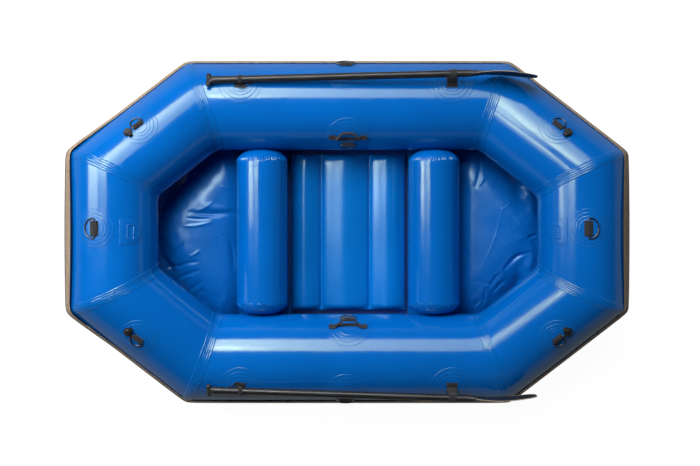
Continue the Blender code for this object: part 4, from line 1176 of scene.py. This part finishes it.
def make_mattress():
    """The floor mattress between the thwarts."""
    length = MATTRESS_FRONT - MATTRESS_BACK

    def place(along, across):
        return MATTRESS_BACK + length * along, MATTRESS_SKIN_HALF * across

    skins = mattress_skin(-1), mattress_skin(1)
    mattress = pad("floor_mattress_cushion", MATTRESS_BLUE_PAINTED_LIGHT, 86, 92, place, *skins)
    swell(mattress, 0.004)
    refine(mattress)
    for vertex in mattress.data.vertices:
        x, y, z = vertex.co
        for back, front in list(mattress_edges())[:-1]:
            # The channel is drawn in again after the cells were blown up
            off = (x - front - MATTRESS_GROOVE / 2) / 0.0045
            pull = 0.62 * math.exp(-off * off)
            z += (FLOOR_MIDDLE - z) * pull
        if z > FLOOR_MIDDLE + 0.01:
            gather = math.exp(-(MATTRESS_SKIN_HALF - abs(y)) / 0.05)
            z += noise.noise(Vector((x * 7, y * 5, 2.0))) * 0.0012
            z += gather * noise.noise(Vector((x * 34, y * 9, 5.0))) * 0.0026
        x = clamp(x, MATTRESS_BACK - 0.001, MATTRESS_FRONT + 0.001)
        vertex.co = (x, y, max(FLOOR_BOTTOM, min(z, FLOOR_TOP + 0.004, under_thwart(x, y) - FLOOR_GAP)))
    placed(mattress, "raft", "blue_floor_fabric", "floor_mattress")


def make_floor_sheet():
    """The thin fabric floor, stretched from tube to tube and curved up at both ends."""
    bm = bmesh.new()

    def point(along, across):
        x = SHEET_HALF_LENGTH * (2 * along - 1)
        y = (SHEET_HALF_WIDTH - SHEET_TAPER * max(0.0, abs(x) - SHEET_TAPER_START)) * across
        slack = 0.0016 * noise.noise(Vector((x * 5, y * 5, 1.0)))
        return x, y, SHEET_HEIGHT + floor_rise(x) + slack

    grid_faces(bm, grid_points(bm, 96, 52, point))
    sheet = mesh_piece("floor_sheet_fabric", bm, SHEET_BLUE)
    wall = sheet.modifiers.new("wall", "SOLIDIFY")
    wall.thickness = 0.0010
    wall.offset = 0.0
    apply_modifiers(sheet)
    placed(sheet, "raft", "blue_floor_fabric", "floor_sheet")


def make_thwarts():
    for name, x, seed in (("forward_thwart", THWART_PLACE, 4.0), ("aft_thwart", -THWART_PLACE, 11.0)):
        place = (x, 0.0, THWART_HEIGHT)
        thwart = THWART_TREE.make(name + "_cushion", TUBE_BLUE, sharp=70, Place=place, Seed=seed)
        placed(thwart, "raft", "blue_pvc", name)


# Patches and ring fittings


def make_patch(name, tube, along, angle, radius, *nodes):
    middle = (tube.start + tube.end) / 2 + along * tube.direction
    patch = PATCH_TREE.make(
        name, PATCH_BLUE, sharp=60, Middle=middle, Direction=tube.direction, Outward=tube.outward, Up=tube.up,
        Angle=angle, Patch_radius=radius,
    )
    placed(patch, "raft", "blue_patch", *nodes)


def make_ring(name, tube, along, angle, size, side):
    """A bent wire ring: its bar in the keeper, its bow lying to one side."""
    frame_at = fitting_frame(tube, along, angle, BAR_RADIUS)
    half, bow = size.half_width, size.depth - RING_SHOULDER

    def bend(way, k):
        """A point of the small bend between the bow and the bar."""
        turn = k * math.pi / 8
        x = way * (half - RING_CORNER * (1 - math.cos(turn)))
        return x, RING_CORNER * (1 - math.sin(turn)) * 0.9

    turns = [k * math.pi / 26 for k in range(27)]
    flat = [(half * math.cos(turn), RING_SHOULDER + bow * math.sin(turn)) for turn in turns]
    flat += [bend(-1, k) for k in range(5)]
    flat += [(-half + RING_CORNER + (2 * half - 2 * RING_CORNER) * k / 12, 0.0) for k in range(1, 12)]
    flat += [bend(1, k) for k in range(4, -1, -1)]
    droop = math.cos(RING_DROOP), math.sin(RING_DROOP)
    points = [frame_at @ Vector((x, side * y * droop[0], -y * droop[1])) for x, y in flat]
    placed(wire(name + "_wire", STEEL, points, RING_WIRE, closed=True), name, "stainless_steel", name)


def make_keeper(name, tube, along, angle, size):
    """The webbing folded over a ring's bar, both ends sewn flat to the patch."""
    half = size.keeper_width / 2 + 0.004
    top = BAR_RADIUS + RING_WIRE + 0.0018
    steps = 26
    points = []
    for k in range(steps + 1):
        y = -half + 2 * half * k / steps
        hump = max(0.0, 1 - (y / (half * 0.80)) ** 2) ** 0.5
        sink = TUBE_SKIN * (1 - math.cos(y / TUBE_SKIN))
        points.append(Vector((0, y, WEBBING_SEAT + (top - WEBBING_SEAT) * hump - sink)))
    rows = []
    for k, point in enumerate(points):
        tangent = points[min(k + 1, steps)] - points[max(k - 1, 0)]
        rows.append((point, Vector((0, -tangent.z, tangent.y)).normalized(), Vector(ALONG)))
    keeper = strip(
        name, STRAP_BLACK, rows, size.keeper_length, 0.0030, frame_at=fitting_frame(tube, along, angle, 0.0),
        Ribs=7.0, Rib_depth=0.0005, Section_points=112,
    )
    sewn(keeper)


def make_ring_fitting(name, tube, along, angle, size, keeper_offset=0.0):
    make_patch(name + "_stepped_patch", tube, along, angle, PATCH_RADIUS, name + "_ring_patch")
    bar_angle = angle - keeper_offset / TUBE_RADIUS
    make_keeper(name + "_ring_keeper", tube, along, bar_angle, size)
    make_ring(name + "_ring", tube, along, bar_angle, size, -1)


def finish_nodes(names, finish):
    """Gives CAD nodes that stay as they are their finish."""
    for name in names:
        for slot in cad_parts[name].material_slots:
            slot.material = finish


def make_fittings():
    make_ring_fitting("bow", BY_NAME["bow_tube"], END_FITTING_ALONG, BOW_FITTING_ANGLE, END_RING)
    make_ring_fitting("stern", BY_NAME["stern_tube"], -END_FITTING_ALONG, STERN_FITTING_ANGLE, END_RING)
    for side, along in (("port_side", SIDE_FITTING_ALONG), ("starboard_side", -SIDE_FITTING_ALONG)):
        tube = BY_NAME[side + "_tube"]
        make_ring_fitting(side, tube, along, SIDE_FITTING_ANGLE, SIDE_RING, SIDE_KEEPER_OFFSET)
    for corner, sign in (("stern_port", 1), ("stern_starboard", -1), ("bow_starboard", 1), ("bow_port", -1)):
        tube = BY_NAME[corner + "_tube"]
        make_ring_fitting(corner, tube, sign * CORNER_FITTING_ALONG, CORNER_FITTING_ANGLE, CORNER_RING)
        finish_nodes((corner + "_valve_body", corner + "_valve_cap"), PLASTIC_BLACK)


# Handles, fitting patches and paddles


def eased(rows, share):
    """A smooth reading between rows of numbers, each starting with its own share."""
    k = 0
    while k < len(rows) - 2 and share > rows[k + 1][0]:
        k += 1
    before, this, after, last = rows[max(0, k - 1)], rows[k], rows[k + 1], rows[min(len(rows) - 1, k + 2)]
    span = after[0] - this[0]
    t = (share - this[0]) / span
    result = []
    for n in range(1, len(this)):
        enter = (after[n] - before[n]) / (after[0] - before[0]) * span
        leave = (last[n] - this[n]) / (last[0] - this[0]) * span
        a, b = this[n], after[n]
        square = t * t * (3 * (b - a) - 2 * enter - leave)
        result.append(a + t * enter + square + t**3 * (2 * (a - b) + enter + leave))
    return result


def loft(name, finish, rings, sharp=40):
    """A closed skin through rings of points, with both ends filled."""
    bm = bmesh.new()
    made = [[bm.verts.new(point) for point in ring] for ring in rings]
    count = len(made[0])
    for k in range(len(made) - 1):
        for j in range(count):
            after = (j + 1) % count
            bm.faces.new([made[k][j], made[k][after], made[k + 1][after], made[k + 1][j]])
    for ring in (made[0], made[-1]):
        middle = bm.verts.new(sum((v.co for v in ring), Vector()) / count)
        for j in range(count):
            bm.faces.new([ring[j], ring[(j + 1) % count], middle])
    return mesh_piece(name, bm, finish, sharp)


def lathe(name, finish, frame_at, profile, sides=48):
    """A turned piece along a frame's X axis, from (place, radius) points."""
    rings = []
    for place, radius in profile:
        turns = [math.tau * k / sides for k in range(sides)]
        rings.append([frame_at @ Vector((place, radius * math.cos(a), radius * math.sin(a))) for a in turns])
    return loft(name, finish, rings, 35)


def stitch_line(name, points, facing, pitch=0.0042):
    path = path_mesh(name, [(point, facing, facing) for point in points])
    sewn(STITCH_TREE.make(name, THREAD_GREY, start=path, Pitch=pitch))


def skin_height(y, radius):
    """How high a tube's round skin is above its axis, this far to the side of a fitting's frame."""
    return math.sqrt(radius * radius - y * y)


def make_handle(side, lean_degrees, rise, slump):
    """A grab handle on its round patch: sewn feet on a base strap, and a soft doubled arch over it."""
    tube = BY_NAME[side + "_side_tube"]
    name = side + "_handle"
    ring_angle = HANDLE_ANGLE + HANDLE_RING_OFFSET / TUBE_RADIUS
    make_patch(name + "_stepped_patch", tube, 0.0, HANDLE_ANGLE, HANDLE_PATCH_RADIUS, name)
    make_keeper(name + "_ring_keeper", tube, 0.0, ring_angle, HANDLE_RING)
    make_ring(name + "_ring", tube, 0.0, ring_angle, HANDLE_RING, 1)
    frame_at = fitting_frame(tube, 0.0, HANDLE_ANGLE, TUBE_SKIN + 0.0062)
    turn = frame_at.to_3x3()
    half, inner = HANDLE_SPAN / 2, HANDLE_SPAN / 2 - HANDLE_FOOT
    arch, shares = [], []
    steps = 64
    for k in range(steps + 1):
        along = half * (2 * k / steps - 1)
        share = max(0.0, 1 - abs(along) / (inner + 0.004))
        lift = rise * math.sin(math.pi / 2 * min(1.0, share * 1.15)) ** 1.15
        lift *= 1 + slump * math.sin(3.1 * along / inner)
        lean = math.radians(lean_degrees) * min(1.0, share * 2.2)
        wave = 0.0018 * math.sin(46 * along + 1.3) * min(1.0, share * 4)
        arch.append((Vector((along, wave, 0)) + lift * Vector((0, -math.sin(lean), math.cos(lean))), lean))
        shares.append(1 - (1 - HANDLE_DOUBLED) * min(1.0, share * 5))
    rows = []
    for k, (point, lean) in enumerate(arch):
        tangent = (arch[min(k + 1, steps)][0] - arch[max(k - 1, 0)][0]).normalized()
        side_way = Vector((0, math.cos(lean), math.sin(lean)))
        side_way = (side_way - side_way.dot(tangent) * tangent).normalized()
        rows.append((point, tangent.cross(side_way), side_way))
    webbed = {"frame_at": frame_at, "Ribs": 6.0, "Rib_depth": 0.0004, "Section_points": 96}
    sewn(strip(name + "_strap", STRAP_BLACK, rows, HANDLE_WIDTH, HANDLE_STRAP * 1.35, shares, **webbed))
    # The base strap is sewn a little inboard of the arch, flat on the patch
    tilt = HANDLE_BASE_INBOARD / TUBE_RADIUS
    facing = Vector((0, math.sin(tilt), math.cos(tilt)))
    across = Vector((0, math.cos(tilt), -math.sin(tilt)))
    seat = Vector((0.0, HANDLE_BASE_INBOARD, -0.0032))
    places = [seat + Vector((HANDLE_BASE_HALF * (2 * k / 24 - 1), 0.0, 0.0)) for k in range(25)]
    flat = [(place, facing, across) for place in places]
    sewn(strip(name + "_base_strap", STRAP_BLACK, flat, 0.021, 0.0024, **webbed))
    for edge in (-1, 1):
        places = [Vector((HANDLE_BASE_HALF * 0.92 * (2 * k / 23 - 1), 0.0, 0.0)) for k in range(24)]
        line = [frame_at @ (seat + place + edge * 0.0072 * across + 0.0014 * facing) for place in places]
        stitch_line(f"{name}_base_stitches_{edge + 2}", line, turn @ facing, 0.0085)
    for end in (-1, 1):
        for edge in (-1, 1):
            y, z = edge * HANDLE_WIDTH * 0.36, HANDLE_STRAP * 0.58
            alongs = [end * (inner + 0.004 + (HANDLE_FOOT - 0.008) * k / 11) for k in range(12)]
            line = [frame_at @ Vector((along, y, z)) for along in alongs]
            stitch_line(f"{name}_stitches_{end + 2}{edge + 2}", line, turn @ Vector(UPWARD))


def make_fitting_patch(name, tube, angle, raised):
    """A D-shaped patch with a moulded window: a raised frame on the bow's, a slot on the stern's."""
    bm = bmesh.new()
    window_along, window_round = 0.0260, 0.0125

    def height(along, round_it, edge):
        level = 0.0018 * clamp(edge / 0.0014) ** 0.5 + 0.0007 * clamp((edge - 0.007) / 0.001)
        outside = max(abs(along) - window_along, abs(round_it + 0.004) - window_round)
        if raised:
            level += 0.0030 * math.exp(-((outside / 0.0021) ** 4))
            level += 0.0006 * (outside < -0.003)
        else:
            level -= 0.0016 / (1 + math.exp(outside / 0.0005))
            level += 0.0022 * math.exp(-(((outside - 0.0016) / 0.0013) ** 2))
        return level

    def skin(under):
        def point(share, across):
            half = FITTING_PATCH_WIDTH / 2 * math.sqrt(1 - (1 - 0.06) * share**2.4)
            round_it = (share - 0.5) * FITTING_PATCH_DEPTH
            along = half * across
            ahead, behind = FITTING_PATCH_DEPTH * share, FITTING_PATCH_DEPTH * (1 - share) * 1.6
            edge = min(half - abs(along), ahead, behind)
            level = -0.0006 if under else height(along, round_it, edge)
            return beside(tube, along, angle + round_it / TUBE_RADIUS, TUBE_SKIN + level)

        return grid_points(bm, 90, 96, point)

    closed_skins(bm, skin(False), skin(True))
    placed(mesh_piece(name + "_moulded", bm, PATCH_BLUE, sharp=50), "raft", "blue_patch", name)


def loop_centre(tube, x, lift):
    """The middle of a paddle loop: how far along the tube and out from its axis it is at this X."""
    along = (x - ((tube.start + tube.end) / 2).x) * tube.direction.x
    return along, PATCH_TOP + LOOP_STRAP + LOOP_BORE + lift


def paddle_frame(tube, angle):
    """The paddle's own frame: X along its shaft towards the bow, Z up, with the origin amidships."""
    back_along, back_radius = loop_centre(tube, HOLDER_BACK, HOLDER_BACK_LIFT)
    front_along, front_radius = loop_centre(tube, HOLDER_FRONT, HOLDER_FRONT_LIFT)
    back = beside(tube, back_along, angle, back_radius)
    forward = (beside(tube, front_along, angle, front_radius) - back).normalized()
    across = Vector(UPWARD).cross(forward).normalized()
    rows = Matrix((forward, across, forward.cross(across))).transposed()
    return Matrix.Translation(back + forward * (-HOLDER_BACK)) @ rows.to_4x4()


def make_holder(side, end, x, angle, lift, paddle_at, loop_share):
    """A holder: its patch, and one strap that is sewn down, goes round the shaft and comes back."""
    tube = BY_NAME[side + "_side_tube"]
    name = f"{side}_{end}_holder"
    along, _ = loop_centre(tube, x, lift)
    make_patch(name + "_stepped_patch", tube, along, angle, HOLDER_PATCH_RADIUS, name)
    frame_at = fitting_frame(tube, along, angle, 0.0)
    inverse = frame_at.inverted()
    forward = (inverse.to_3x3() @ (paddle_at.to_3x3() @ Vector(ALONG))).normalized()
    forward = forward * (1 if forward.x > 0 else -1)
    centre = inverse @ (paddle_at @ Vector((x, 0, 0)))
    reach = LOOP_BORE + LOOP_STRAP / 2 + 0.0002
    stalk = centre.z - reach - 0.002 - WEBBING_SEAT

    def leg(way):
        """One end of the strap, from its sewn foot up its stalk: how far across, how high, how wide."""
        rows = []
        for k in range(9):
            y = way * (HOLDER_FOOT - (HOLDER_FOOT - 0.0042) * k / 8)
            rows.append((y, skin_height(y, WEBBING_SEAT), 1.45 - 0.30 * k / 8))
        for k in range(1, 8 if stalk > 0.006 else 1):
            rise = k / 8
            rows.append((way * 0.0017 + centre.y * rise, WEBBING_SEAT + stalk * rise, 1.15 - 0.15 * rise))
        return rows

    turns = [math.radians(-90 - 14 - (332 * k / 34)) for k in range(35)]
    loop = [(centre.y + reach * math.cos(a), centre.z + reach * math.sin(a), loop_share) for a in turns]
    points = leg(-1) + loop + leg(1)[::-1]
    rows = []
    for k, (y, z, _) in enumerate(points):
        before, after = points[max(0, k - 1)], points[min(len(points) - 1, k + 1)]
        tangent = Vector((0, after[0] - before[0], after[1] - before[1])).normalized()
        level = clamp((z - WEBBING_SEAT) / 0.02)
        side_way = (Vector(ALONG) * (1 - level) + forward * level).normalized()
        rows.append((Vector((0, y, z)), side_way.cross(tangent), side_way))
    shares = [point[2] for point in points]
    strap = strip(
        name + "_strap", STRAP_BLACK, rows, 0.036, LOOP_STRAP, shares, frame_at=frame_at,
        Ribs=9.0, Rib_depth=0.0004, Section_points=112,
    )
    sewn(strap)
    for edge in (-1, 1):
        y = edge * 0.021
        z = skin_height(y, WEBBING_SEAT) + LOOP_STRAP * 0.45
        line = [frame_at @ Vector((-0.021 + 0.042 * k / 14, y, z)) for k in range(15)]
        stitch_line(f"{name}_stitches_{edge + 2}", line, frame_at.to_3x3() @ Vector(UPWARD))
    return frame_at


# The cord tail's way over the aft holder: along it, across it and above the tube
CORD_ROUTE = (
    (0.0, 0.012, 0.020, 0.0045),
    (0.2, 0.004, 0.029, 0.0075),
    (0.4, -0.010, 0.033, 0.0050),
    (0.6, -0.024, 0.026, 0.0036),
    (0.8, -0.036, 0.015, 0.0034),
    (1.0, -0.045, 0.008, 0.0034),
)


def make_cord_tail(side, frame_at):
    """A short knotted tail of cord that hangs from the aft holder onto the tube."""
    points = []
    for k in range(41):
        x, y, up = eased(CORD_ROUTE, k / 40)
        points.append(frame_at @ Vector((x, y, skin_height(y, WEBBING_SEAT) + up)))
    cord = sewn(wire(side + "_aft_holder_cord", CORD_BLACK, points, CORD_RADIUS, sections=10))
    length = sum((points[k + 1] - points[k]).length for k in range(40))
    knot_points = []
    for k in range(60):
        turn = math.tau * k / 60
        wide = 0.0030 + 0.0011 * math.cos(3 * turn)
        up = 0.0012 * math.sin(3 * turn) + 0.0004
        offset = Vector((wide * math.cos(2 * turn), wide * math.sin(2 * turn), up))
        knot_points.append(points[-1] + frame_at.to_3x3() @ offset)
    knot = wire(side + "_cord_knot", CORD_BLACK, knot_points, CORD_RADIUS * 0.95, closed=True, sections=10)
    sewn(knot)
    tuple(points[0])
    [tuple(p) for p in points]


# The blade's sections: share of its length, half width, half thickness and bend
BLADE_ROWS = (
    (0.00, 0.0160, 0.0160, 0.0),
    (0.10, 0.0192, 0.0136, 0.0),
    (0.26, 0.0471, 0.0095, 0.0),
    (0.42, 0.0722, 0.0065, 0.0009),
    (0.60, 0.0760, 0.0050, 0.0048),
    (0.80, 0.0707, 0.0038, 0.0128),
    (0.94, 0.0562, 0.0030, 0.0194),
    (1.00, 0.0304, 0.0024, 0.0220),
)


def blade_ring(frame_at, share, inboard, count=56):
    """One section of the blade: a flat lens with a rib down its middle and a rounded edge."""
    half_width, half_thick, bend = eased(BLADE_ROWS, share)
    ring = []
    flat = min(1.0, share / 0.3)
    for k in range(count):
        turn = math.tau * k / count
        c, s = math.cos(turn), math.sin(turn)
        lens = abs(c) ** (1 - 0.45 * flat) * math.copysign(1, c)
        rib = 0.0026 * flat * (1 - share) ** 0.5 * math.exp(-((half_width * s / 0.010) ** 2))
        rib *= math.copysign(1, c)
        thick = half_thick * (1 - 0.35 * flat) * lens + rib
        x = BLADE_START + share * BLADE_LENGTH
        ring.append(frame_at @ Vector((x, thick + inboard * bend, half_width * s)))
    return ring


def make_paddle(side, angle, inboard):
    """A paddle: coated shaft with its ferrules, moulded blade with a tan painted highlight along its edge,
    and a T-grip.
    """
    tube = BY_NAME[side + "_side_tube"]
    frame_at = paddle_frame(tube, angle)
    body = side + "_paddle"
    begin = GRIP_END + 0.030
    bare = SHAFT_RADIUS - FERRULE
    profile = [
        (begin, SHAFT_RADIUS - 0.002),
        (begin, SHAFT_RADIUS),
        (begin + 0.034, SHAFT_RADIUS),
        (begin + 0.0345, bare),
        (0.0, bare),
        (BLADE_START - 0.0605, bare),
        (BLADE_START - 0.060, SHAFT_RADIUS),
        (BLADE_START - 0.0003, SHAFT_RADIUS),
        (BLADE_START - 0.0003, SHAFT_RADIUS - 0.002),
    ]
    shaft = lathe(body + "_coated_shaft", SHAFT_BLACK, frame_at, profile)
    placed(shaft, body, "black_coated_aluminium", body + "_shaft")

    rings = [blade_ring(frame_at, k / 60, inboard) for k in range(61)]
    placed(loft(body + "_moulded_blade", PLASTIC_BLACK, rings, 60), body, "black_plastic", body + "_blade")
    # A thin tan wire round the blade's edge: a painted highlight on the black blade.
    edge = []
    for upper, run in ((1, range(8, 61)), (-1, range(60, 7, -1))):
        for k in run:
            half_width, _, bend = eased(BLADE_ROWS, k / 60)
            x = BLADE_START + k / 60 * BLADE_LENGTH
            edge.append(frame_at @ Vector((x, inboard * bend, upper * (half_width - 0.0004))))
    placed(wire(body + "_blade_edge", BLADE_RIM_PAINTED_HIGHLIGHT, edge, 0.0016, sections=8), body, "black_plastic")

    lean = fitting_frame(tube, 0.0, angle, 0.0).to_3x3().to_4x4()
    at_bar = Matrix.Translation(frame_at @ Vector((GRIP_END + GRIP_BAR_RADIUS, 0, 0))) @ lean
    at_bar = at_bar @ Matrix.Rotation(math.pi / 2, 4, "Z")
    profile = []
    for k in range(41):
        share = 2 * k / 40 - 1
        end_round = math.sqrt(max(0.0, 1 - max(0.0, (abs(share) - 0.80) / 0.20) ** 2))
        swollen = 1 - 0.13 * math.exp(-((share / 0.28) ** 2)) - 0.05 * share * share
        profile.append((share * GRIP_WIDTH / 2, max(0.0004, GRIP_BAR_RADIUS * end_round * swollen)))
    placed(lathe(body + "_grip_bar", PLASTIC_BLACK, at_bar, profile), body, "black_plastic")
    rings = []
    root = lean.to_3x3()
    across, over = root @ Vector(ACROSS), root @ Vector(UPWARD)
    first = GRIP_END + 0.55 * GRIP_BAR_RADIUS
    for k in range(25):
        share = k / 24
        wide = SHAFT_RADIUS + 0.0004 + (GRIP_WIDTH / 2 - 0.004 - SHAFT_RADIUS) * (1 - share) ** 2.4
        thick = SHAFT_RADIUS + 0.0004 - (SHAFT_RADIUS - 0.0072) * (1 - share) ** 1.6
        middle = frame_at @ Vector((first + (begin + 0.004 - first) * share, 0, 0))
        turns = [math.tau * j / 40 for j in range(40)]
        rings.append([middle + across * wide * math.cos(a) + over * thick * math.sin(a) for a in turns])
    placed(loft(body + "_grip_flare", PLASTIC_BLACK, rings), body, "black_plastic", body + "_grip")
    return frame_at


def make_paddles():
    for side, angle, inboard in (("port", PORT_HOLDER_ANGLE, -1), ("starboard", STARBOARD_HOLDER_ANGLE, 1)):
        paddle_at = make_paddle(side, angle, inboard)
        frame_at = make_holder(side, "aft", HOLDER_BACK, angle, HOLDER_BACK_LIFT, paddle_at, 0.42)
        make_cord_tail(side, frame_at)
        make_holder(side, "forward", HOLDER_FRONT, angle, HOLDER_FRONT_LIFT, paddle_at, 0.85)


# The studio


def floor_finish():
    """A white studio floor that keeps a soft shadow."""
    finish = Finish("studio_paper", 0.9, specular=0.0)
    path = finish.node("ShaderNodeLightPath")
    seen = finish.maths("MAXIMUM", path.outputs["Is Camera Ray"], path.outputs["Is Transmission Ray"])
    seen = finish.maths("MAXIMUM", seen, Term(finish, path.outputs["Is Glossy Ray"]) * MIRRORED_WHITE)
    return finish.use(
        Base_Color=(0.16, 0.16, 0.16, 1.0), Emission_Color=(1.0, 1.0, 1.0, 1.0), Emission_Strength=seen * 0.97
    )


def make_stage():
    bm = bmesh.new()
    bmesh.ops.create_grid(bm, x_segments=1, y_segments=1, size=STUDIO_WIDTH / 2)
    bmesh.ops.translate(bm, verts=bm.verts, vec=(0, 0, -0.0005))
    mesh_piece("studio_floor", bm, floor_finish())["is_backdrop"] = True
    world = bpy.data.worlds.new("studio")
    bpy.context.scene.world = world
    world.use_nodes = True
    bench = Bench(world.node_tree)
    path = bench.node("ShaderNodeLightPath")
    seen = bench.maths("MAXIMUM", path.outputs["Is Camera Ray"], path.outputs["Is Transmission Ray"])
    level = bench.parts(bench.read("ShaderNodeTexCoord", "Generated"))[2]
    horizon = bench.smooth(level, 0.06, 0.30, MIRRORED_WHITE, 0.0)
    seen = bench.maths("MAXIMUM", seen, Term(bench, path.outputs["Is Glossy Ray"]) * horizon)
    back = bench.tree.nodes["Background"]
    back.inputs["Color"].default_value = (1.0, 1.0, 1.0, 1.0)
    bench.put(back.inputs["Strength"], (1.0 - seen) * WORLD_LIGHT + seen)


def soft_box(name, place, aim, size, radiance):
    """A studio lamp that faces a point, from how bright its front is."""
    light = bpy.data.lights.new(name, "AREA")
    light.shape = "RECTANGLE"
    light.size, light.size_y = size
    light.energy = radiance * math.pi * size[0] * size[1]
    lamp = new_object(name, light)
    lamp.location = place
    lamp.rotation_euler = (Vector(aim) - Vector(place)).to_track_quat("-Z", "Y").to_euler()


def make_lamps():
    """A long bank of soft boxes to port, boxes astern, and one on the port quarter."""
    for name, start, end, radiance in (
        ("port_lamp_aft", -2.60, -1.29, 11.0),
        ("port_lamp_middle_aft", -1.29, -0.48, 7.6),
        ("port_lamp_middle", -0.48, 0.34, 4.8),
        ("port_lamp_forward", 0.34, 1.75, 3.6),
    ):
        middle = (start + end) / 2
        soft_box(name, (middle, *PORT_BANK), (middle, 0, 0), (end - start, PORT_BANK_HEIGHT), radiance)
    for name, start, end, tilt, tall, radiance in (
        ("stern_lamp_low", 0.08, 0.55, 47, 1.9, 2.5),
        ("stern_lamp_low_port", 0.55, 1.35, 47, 1.9, 6.0),
        ("stern_lamp_high", 0.0, 0.45, 26, 1.5, 2.4),
        ("stern_lamp_high_port", 0.45, 0.95, 26, 1.5, 9.0),
    ):
        middle = (start + end) / 2
        tilt = math.radians(tilt)
        place = (-LAMP_AWAY * math.sin(tilt), middle, LAMP_AWAY * math.cos(tilt))
        soft_box(name, place, (0, middle, 0), (end - start, tall), radiance)
    for name, start, end, radiance in (("near_lamp", 0.06, 0.26, 3.4), ("near_lamp_port", 0.26, 0.75, 6.6)):
        middle = (start + end) / 2
        place, aim = (-2.22, middle, 1.84), (-1.04, middle, 0.45)
        soft_box(name, place, aim, (end - start, NEAR_LAMP_HEIGHT), radiance)
    out, height = LAMP_AWAY * math.sin(QUARTER_LAMP_TILT), LAMP_AWAY * math.cos(QUARTER_LAMP_TILT)
    place = (out * math.cos(QUARTER_LAMP_TURN), out * math.sin(QUARTER_LAMP_TURN), height)
    soft_box("quarter_lamp", place, ORIGIN, (1.5, 2.8), 8.0)


def make_camera():
    """Straight down, as the photograph was taken."""
    camera = bpy.data.cameras.new("camera")
    camera.sensor_width = CAMERA_SENSOR
    camera.lens = CAMERA_LENS
    shown = new_object("camera", camera)
    shown.location = CAMERA_PLACE
    bpy.context.scene.camera = shown
    bpy.context.scene.view_settings.view_transform = "Standard"


def write_size():
    boxes = {"solids": SOLIDS_BOX, "looks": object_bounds()}
    {name: [list(corner) for corner in box] for name, box in boxes.items()}


make_camera()
make_lamps()
make_stage()
make_tubes()
make_strake()
make_thwarts()
make_panel("bow_floor_panel", 1, MATTRESS_FRONT, BOW_FOLDS)
make_panel("stern_floor_panel", -1, MATTRESS_BACK, STERN_FOLDS)
make_mattress()
make_floor_sheet()
make_fittings()
make_handle("port", 74, 0.040, 0.04)
make_handle("starboard", 2, 0.046, 0.10)
make_fitting_patch("bow_fitting_patch", BY_NAME["bow_tube"], BOW_PATCH_ANGLE, True)
make_fitting_patch("stern_fitting_patch", BY_NAME["stern_tube"], STERN_PATCH_ANGLE, False)
make_paddles()
finish_nodes(("bow_baffle", "port_side_baffle", "starboard_side_baffle", "stern_baffle"), BAFFLE_BLUE)
write_size()
